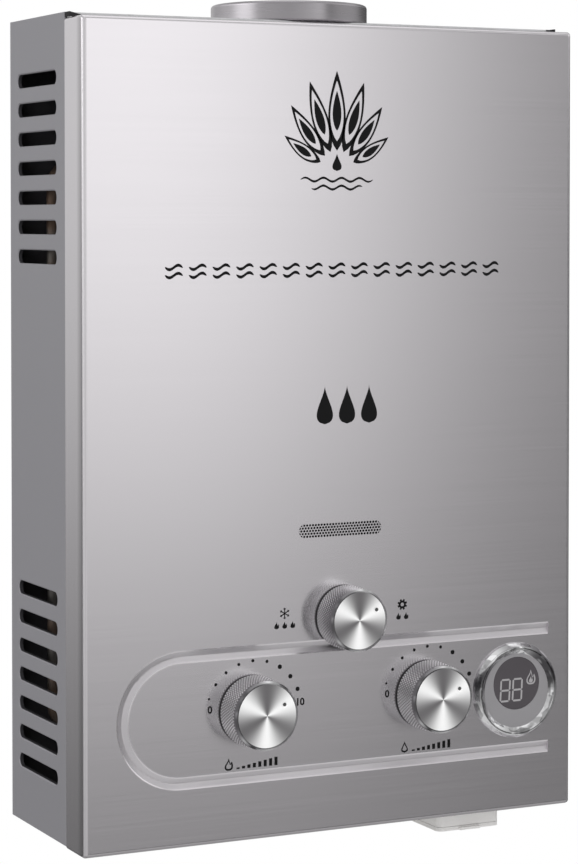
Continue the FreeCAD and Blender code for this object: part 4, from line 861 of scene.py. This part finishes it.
cx, cz = knob_centre["season"]
snow = (cx + SNOW[0], cz + SNOW[1])
for i in range(3):
    a = math.radians(30 + 60 * i)
    printed(marks, stroke(polar(snow, -SNOW_R, a), polar(snow, SNOW_R, a), SNOW_STROKE))
    for side in (-1, 1):
        root = polar(snow, side * TWIG_AT * SNOW_R, a)
        for turn in (-TWIG_TURN, TWIG_TURN):
            tip = polar(root, side * TWIG * SNOW_R, a + math.radians(turn))
            printed(marks, stroke(root, tip, TWIG_STROKE * SNOW_STROKE))
sun = (cx + SUN[0], cz + SUN[1])
printed_ring(marks, disc(SUN_RING[0], sun, SUN_SIDES), disc(SUN_RING[1], sun, SUN_SIDES))
for i in range(SUN_TEETH):
    a = 2 * math.pi * (i + 0.5) / SUN_TEETH
    printed(marks, stroke(polar(sun, SUN_TOOTH[0], a), polar(sun, SUN_TOOTH[1], a), SUN_TOOTH[2]))
for middle, count in ((snow, 3), (sun, 2)):
    for i in range(count):
        x = middle[0] + (i - (count - 1) / 2) * SMALL_FLAME_PITCH
        printed(marks, shift(flame(*SMALL_FLAME), x, middle[1] - FLAMES_DOWN))
piece("dial_marks", marks, ink, "heater")


# ---------------------------------------------------------------- printed ornament
# The same black print higher up: a fan of hollow flames over a drop and two waves, a slim band
# of paired waves across the cover, and three drops in a row.
FAN_ROOT, FAN_GAP = (-0.0010, 0.1880), 0.0150
FAN = ((0.0, 0.0590, 0.0145), (21.0, 0.0545, 0.0135), (42.0, 0.0460, 0.0122), (64.0, 0.0350, 0.0105))
BLADE_CURL, BLADE_WALL, BLADE_CORE, BLADE_BELLY, BLADE_POINT = 0.13, 0.76, 0.50, 0.8, 0.9
FAN_DROP = (0.0085, 0.0130)
FAN_WAVES = ((0.1816, 0.0600), (0.1758, 0.0420))
WAVE_RISE, WAVE_LENGTH, WAVE_INK, WAVE_END, WAVE_BLUNT = 0.0014, 0.0150, 0.0018, 0.3, 8
BAND_CENTRE, BAND_COUNT, BAND_PITCH = (-0.0010, 0.1148), 15, 0.0188
BAND_WAVE, BAND_RISE, BAND_INK, BAND_GAP = 0.0140, 0.0016, 0.0023, 0.0058
DROPS_CENTRE, DROPS_PITCH, DROPS_SIZE = (0.0075, 0.0005), 0.0185, (0.0150, 0.0280)


def blade(angle, length, width, grow=1.0, steps=16):
    """Outline of one flame of the fan, grown about its middle; its tip curls upright."""
    lean, turn = math.radians(angle), -BLADE_CURL * length * math.sin(math.radians(angle))
    line = []
    for side in (1, -1):
        for i in range(steps):
            share = i / steps if side == 1 else 1 - i / steps
            t = 0.5 + (share - 0.5) * grow
            half = side * width / 2 * grow * math.sin(math.pi * share ** BLADE_BELLY) ** BLADE_POINT
            along, across = FAN_GAP + length * t, half + turn * t * t
            line.append((FAN_ROOT[0] + along * math.sin(lean) + across * math.cos(lean),
                         FAN_ROOT[1] + along * math.cos(lean) - across * math.sin(lean)))
    return line


def wave(centre, length, rise, width, pitch, steps_per_pitch=14):
    """Outline of a level wavy line whose ends are rounded off."""
    steps = max(8, round(length / pitch * steps_per_pitch))
    upper, lower = [], []
    for i in range(steps + 1):
        out = 2 * i / steps - 1
        x, z = length / 2 * out, rise * math.sin(math.pi * length / pitch * out)
        half = width / 2 * max(WAVE_END, math.sqrt(1 - out ** WAVE_BLUNT))
        upper.append((centre[0] + x, centre[1] + z + half))
        lower.append((centre[0] + x, centre[1] + z - half))
    return upper + lower[::-1]


def row_of(bench, ports):
    """The base shape, repeated in a level row."""
    index = bench.node("GeometryNodeInputIndex")
    return copies(bench, ports, {}, X=(index - (ports["Count"] - 1) / 2) * ports["Pitch"])


fan = bmesh.new()
for angle, length, width in FAN:
    for side in ((1, -1) if angle else (1,)):
        printed_ring(fan, blade(side * angle, length, width), blade(side * angle, length, width, BLADE_WALL))
        printed(fan, blade(side * angle, length, width, BLADE_CORE))
printed(fan, shift(drop(*FAN_DROP), *FAN_ROOT))
for height, length in FAN_WAVES:
    printed(fan, wave((FAN_ROOT[0], height), length, WAVE_RISE, WAVE_INK, WAVE_LENGTH))
for place in (-1, 0, 1):
    printed(fan, shift(drop(*DROPS_SIZE, 20), DROPS_CENTRE[0] + place * DROPS_PITCH, DROPS_CENTRE[1]))
piece("flame_fan", fan, ink, "heater")

pair = bmesh.new()
for side in (1, -1):
    slab(pair, wave((0, side * BAND_GAP / 2), BAND_WAVE, BAND_RISE, BAND_INK, BAND_WAVE), -PRINT, PRINT_ROOT)
band = grown("wave_band", as_mesh("pair", pair), row_of, ink, {
    "Count": BAND_COUNT, "Pitch": BAND_PITCH, "Centre": (BAND_CENTRE[0], face_y, BAND_CENTRE[1])})
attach(band, "heater")


# ---------------------------------------------------------------- corner shade pads
# Black pads cut to a wedge in the two upper corners of the case, where the cover's flanges meet
# and leave a gap: painted shade, a dark sheet standing for the shade in that gap.
SHADE_PAD_LENGTH, SHADE_PAD_TIP, SHADE_PAD_T, SHADE_PAD_IN, SHADE_PAD_SIDE = 0.0130, 0.0005, 0.0010, 0.0002, 0.0008
SHADE_PAD_BACK, CORNER_SHADE_TONE = 0.05, (0.020, 0.019, 0.021)
corner_shade_black = grained("black_foam", CORNER_SHADE_TONE, 0.92, cloud=0.12, cloud_scale=150.0, grain_scale=1800.0,
               depth=0.00012)
shade_pad_top, shade_pad_foot = case_high.z - SHADE_PAD_IN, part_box("front_cover")[1].z + SHADE_PAD_IN
shade_pad_y = case_low.y - SHADE_PAD_BACK * SHADE_PAD_T
shade_pads = bmesh.new()
for side in (-1, 1):
    outer = side * (case_high.x - 0.5 * SHADE_PAD_IN)
    inner = outer - side * SHADE_PAD_LENGTH
    slab(shade_pads, [(outer, shade_pad_foot), (inner, shade_pad_foot), (inner, shade_pad_foot + SHADE_PAD_TIP), (outer, shade_pad_top)],
         case_low.y - SHADE_PAD_T, shade_pad_y)
    inner = outer - side * SHADE_PAD_SIDE
    slab(shade_pads, [(outer, shade_pad_foot), (inner, shade_pad_foot), (inner, shade_pad_top), (outer, shade_pad_top)],
         shade_pad_y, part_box("front_cover")[1].y - SHADE_PAD_IN)
piece("corner_seals", shade_pads, corner_shade_black, "heater")


# ---------------------------------------------------------------- flue collar
# Spun from 1 mm steel sheet and screwed over the outlet in the top: a neck, a step and a rolled
# rim. The spinning tool leaves level rings, and the metal stays satin.
COLLAR_STEEL = (0.43, 0.412, 0.432)
collar_steel = grained("spun_steel", COLLAR_STEEL, 0.30, 1.0, cloud=0.03, cloud_scale=1.5, grain_scale=8.0,
                       depth=0.00001, stretch=(1, 1, 120))
dress(collar_steel, "flue_collar")


# ---------------------------------------------------------------- screws
# Zinc-plated pan-head screws, M4, driven from outside: four through the collar's foot into the
# top panel, and three up through the cover's lower flange.
HEAD_R, HEAD_H, HEAD_CROSS, CROSS_DEEP = 0.0036, 0.0016, 0.0024, 0.0009
CROSS_WAIST, CROSS_FLOOR = HEAD_CROSS / 5, 0.5
HEAD_DOME = ((1.0, 0.0), (1.0, 0.35), (0.82, 0.85), (0.6, 1.0))    # shares of its radius and height
FOOT_RING, SCREW_TURN = {"Count": 4, "Ring": 0.0520, "Start": math.radians(45.0)}, 1.3
FLANGE_ROW = {"Count": 3, "Pitch": 0.1700}


def pan_head(name, up, around=24):
    """A domed head with a pressed cross, standing on its bearing face; up is 1 or -1."""
    head = bmesh.new()
    reach = [CROSS_WAIST if i % (around // 4) else HEAD_CROSS / 2 for i in range(around)]
    outlines = [([share * HEAD_R] * around, height * HEAD_H) for share, height in HEAD_DOME]
    outlines += [(reach, HEAD_H), ([CROSS_FLOOR * r for r in reach], HEAD_H - CROSS_DEEP)]
    rings = [[head.verts.new((*polar((0, 0), r, 2 * math.pi * i / around), up * height))
              for i, r in enumerate(radii)] for radii, height in outlines]
    head.faces.new(rings[0])
    for lower, upper in zip(rings, rings[1:]):
        bridge(head, lower, upper)
    head.faces.new(rings[-1])
    return as_mesh(name, head)


def ring_of(bench, ports):
    """The base shape, repeated on a level ring and turned a little at each place."""
    index = bench.node("GeometryNodeInputIndex")
    angle = ports["Start"] + index * (2 * math.pi) / ports["Count"]
    across, along = bench.maths("COSINE", angle), bench.maths("SINE", angle)
    return copies(bench, ports, {"Rotation": bench.vector(Z=index * SCREW_TURN)},
                  X=across * ports["Ring"], Y=along * ports["Ring"])


low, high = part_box("flue_collar")
foot_top = low.z + SHEET
screws = grown("collar_screws", pan_head("collar_screw", 1), ring_of, zinc, {
    **FOOT_RING, "Centre": ((low.x + high.x) / 2, (low.y + high.y) / 2, foot_top)})
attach(screws, "heater")
flange_y = (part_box("front_cover")[0].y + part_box("rear_case")[0].y) / 2
screws = grown("cover_screws", pan_head("cover_screw", -1), row_of, zinc, {
    **FLANGE_ROW, "Centre": (0.0, flange_y, cover_low)})
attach(screws, "heater")


# ---------------------------------------------------------------- floor, light and camera
# A pale floor well below the hanging heater, soft light all round with a large lamp in front on
# the left, and a studio that falls off to grey low down and to the right.
FLOOR_Z, FLOOR_HALF = -0.90, 5.0
FLOOR_GLOW, FLOOR_NEAR, FLOOR_FAR, FLOOR_PALE = 0.6, 0.5, 1.5, (0.86, 0.86, 0.86, 1)
ROOM = 0.62
FADE_FROM, FADE_TO, FADE_BRIGHT, FADE_DIM, FADE_STEPS = 22.8, 33.4, 1.27, 0.28, 8


def eased(start, end, share):
    """Between two values, slow at both ends."""
    return start + (end - start) * share * share * (3 - 2 * share)


# The lit wall ends softly on the right: its light falls off between two bearings.
SOFT_EDGE = [(FADE_FROM + (FADE_TO - FADE_FROM) * i / FADE_STEPS,
              eased(FADE_BRIGHT, FADE_DIM, i / FADE_STEPS)) for i in range(FADE_STEPS + 1)]
HIGH_LEVELS = ((-180, 0.80), (-165, 0.64), (-150, 0.80), (-138, 1.30), (-118, 1.30), (-106, 2.8),
               (-84, 2.8), (-75, 0.50), (-50, 0.48), (-30, 0.62), (-10, 0.54), (0, 0.56), (18, 0.98),
               *SOFT_EDGE, (37, 0.26), (44, 0.90), (92, 0.90), (110, 0.30), (150, 0.10), (165, 0.60),
               (180, 0.80))
WALL_LEVELS = ((-180, 0.80), (-165, 0.64), (-152, 0.64), (-140, 0.50), (-122, 0.38), (-108, 0.50),
               (-92, 0.80), (-66, 1.0), (-46, 1.0), (-35, 0.74), (-26, 0.60), (-14, 0.85), (0, 1.02),
               (18, 1.02), *SOFT_EDGE, (37, 0.20), (42, 0.06), (58, 0.24), (84, 0.24), (96, 0.03),
               (150, 0.03), (165, 0.60), (180, 0.80))
TABLE_LEVELS = ((-180, 0.14), (-150, 0.13), (-125, 0.09), (-108, 0.16), (-84, 0.34), (-46, 0.38),
                (-26, 0.45), (-8, 0.50), (2, 0.34), (14, 0.20), (22, 0.158), (28, 0.163), (32, 0.14),
                (50, 0.22), (84, 0.28), (92, 0.03), (150, 0.03), (170, 0.14))
HORIZON = math.radians(-15.2), math.radians(2.6)
LINTEL = math.radians(3.6), math.radians(5.4)
BANDS = ((-28, -45, 0.63), (-80, -86, 0.12), (25, 33, 0.74), (38, 44, 0.42), (50, 62, 1.0))
CAMERA = (-0.8744, -1.8565, 0.1527)
CAMERA_YAW, CAMERA_PITCH = math.radians(26.042), math.radians(1.576)
CAMERA_LENS, CAMERA_SHIFT, CAMERA_CLIP = 107.81, -0.1644, (0.05, 50.0)
WHITE = (1, 1, 1, 1)


def seen(bench, *kinds):
    """1 for rays of these kinds, 0 for the rest."""
    path = bench.tree.nodes.new("ShaderNodeLightPath")
    total = 0.0
    for kind in kinds:
        total = Port(bench, path.outputs[kind]) + total
    return bench.maths("MINIMUM", total, 1.0)


floor_mesh = bpy.data.meshes.new("floor")
floor_mesh.from_pydata([(x * FLOOR_HALF, y * FLOOR_HALF, FLOOR_Z)
                        for x, y in ((-1, -1), (1, -1), (1, 1), (-1, 1))], [], [(0, 1, 2, 3)])
floor = linked("floor", floor_mesh)
floor_paint = bpy.data.materials.new("pale_floor")
bench = bench_of(floor_paint)
matte = bench.node("ShaderNodeBsdfDiffuse", {}, {"Color": FLOOR_PALE})
lit = bench.node("ShaderNodeEmission", {}, {"Color": WHITE, "Strength": 1.0})
level_place = bench.moved(bench.place(), scale=(1, 1, 0))
spot = bench.node("ShaderNodeVectorMath", {"operation": "LENGTH"}, {0: level_place}, 1)
glow = FLOOR_GLOW + (1 - FLOOR_GLOW) * bench.smooth(spot, FLOOR_NEAR, FLOOR_FAR)
lit_share = seen(bench, "Is Camera Ray") * glow
bench.output(bench.node("ShaderNodeMixShader", {}, {0: lit_share, 1: matte, 2: lit}))
floor.data.materials.append(floor_paint)
floor.visible_glossy = False

world = bpy.data.worlds.new("studio")
bpy.context.scene.world = world
bench = bench_of(world)
direction = bench.node("ShaderNodeTexCoord", out="Generated")
x, y, z = bench.axes(direction)
turn = bench.maths("ARCTAN2", x, y * -1) / (2 * math.pi) + 0.5
rise = bench.maths("ARCSINE", z)


def around(levels):
    """Brightness by compass bearing, in degrees to the right of the front."""
    stops = [((bearing + 180) / 360, (level, level, level, 1)) for bearing, level in levels]
    ramp = bench.node("ShaderNodeValToRGB", {"stops": stops}, {"Fac": turn})
    return bench.node("ShaderNodeSeparateColor", {}, {0: ramp})


above, below, high_up = around(WALL_LEVELS), around(TABLE_LEVELS), around(HIGH_LEVELS)
studio = below + (above - below) * bench.smooth(rise, *HORIZON)
studio = studio + (high_up - studio) * bench.smooth(rise, *LINTEL)
for start, end, level in BANDS:
    side = math.copysign(1, start)
    band_share = bench.smooth(rise * side, math.radians(abs(start)), math.radians(abs(end)))
    studio = studio + (level - studio) * band_share
eye = seen(bench, "Is Camera Ray")
shine = seen(bench, "Is Glossy Ray", "Is Transmission Ray")
strength = eye + (1 - eye) * (shine * studio + (1 - shine) * ROOM)
light = bench.node("ShaderNodeBackground", {}, {"Color": WHITE, "Strength": strength})
bench.output(light, "ShaderNodeOutputWorld")

LAMPS = {"key": ((-1.7, -2.3, 1.7), 1.5, 42.0), "fill": ((1.9, -2.2, 0.9), 1.2, 12.0)}
for name, (place, size, power) in LAMPS.items():
    lamp = bpy.data.lights.new(name, "AREA")
    lamp.size, lamp.energy = size, power
    holder = linked(name, lamp)
    holder.location = place
    holder.rotation_euler = (-Vector(place)).to_track_quat("-Z", "Y").to_euler()
    holder.visible_glossy = False

camera = bpy.data.cameras.new("camera")
camera.lens, camera.shift_y = CAMERA_LENS, CAMERA_SHIFT
camera.clip_start, camera.clip_end = CAMERA_CLIP
holder = linked("camera", camera)
holder.location = CAMERA
holder.rotation_euler = (math.pi / 2 - CAMERA_PITCH, 0, -CAMERA_YAW)
bpy.context.scene.camera = holder
bpy.context.scene.view_settings.view_transform = "Standard"
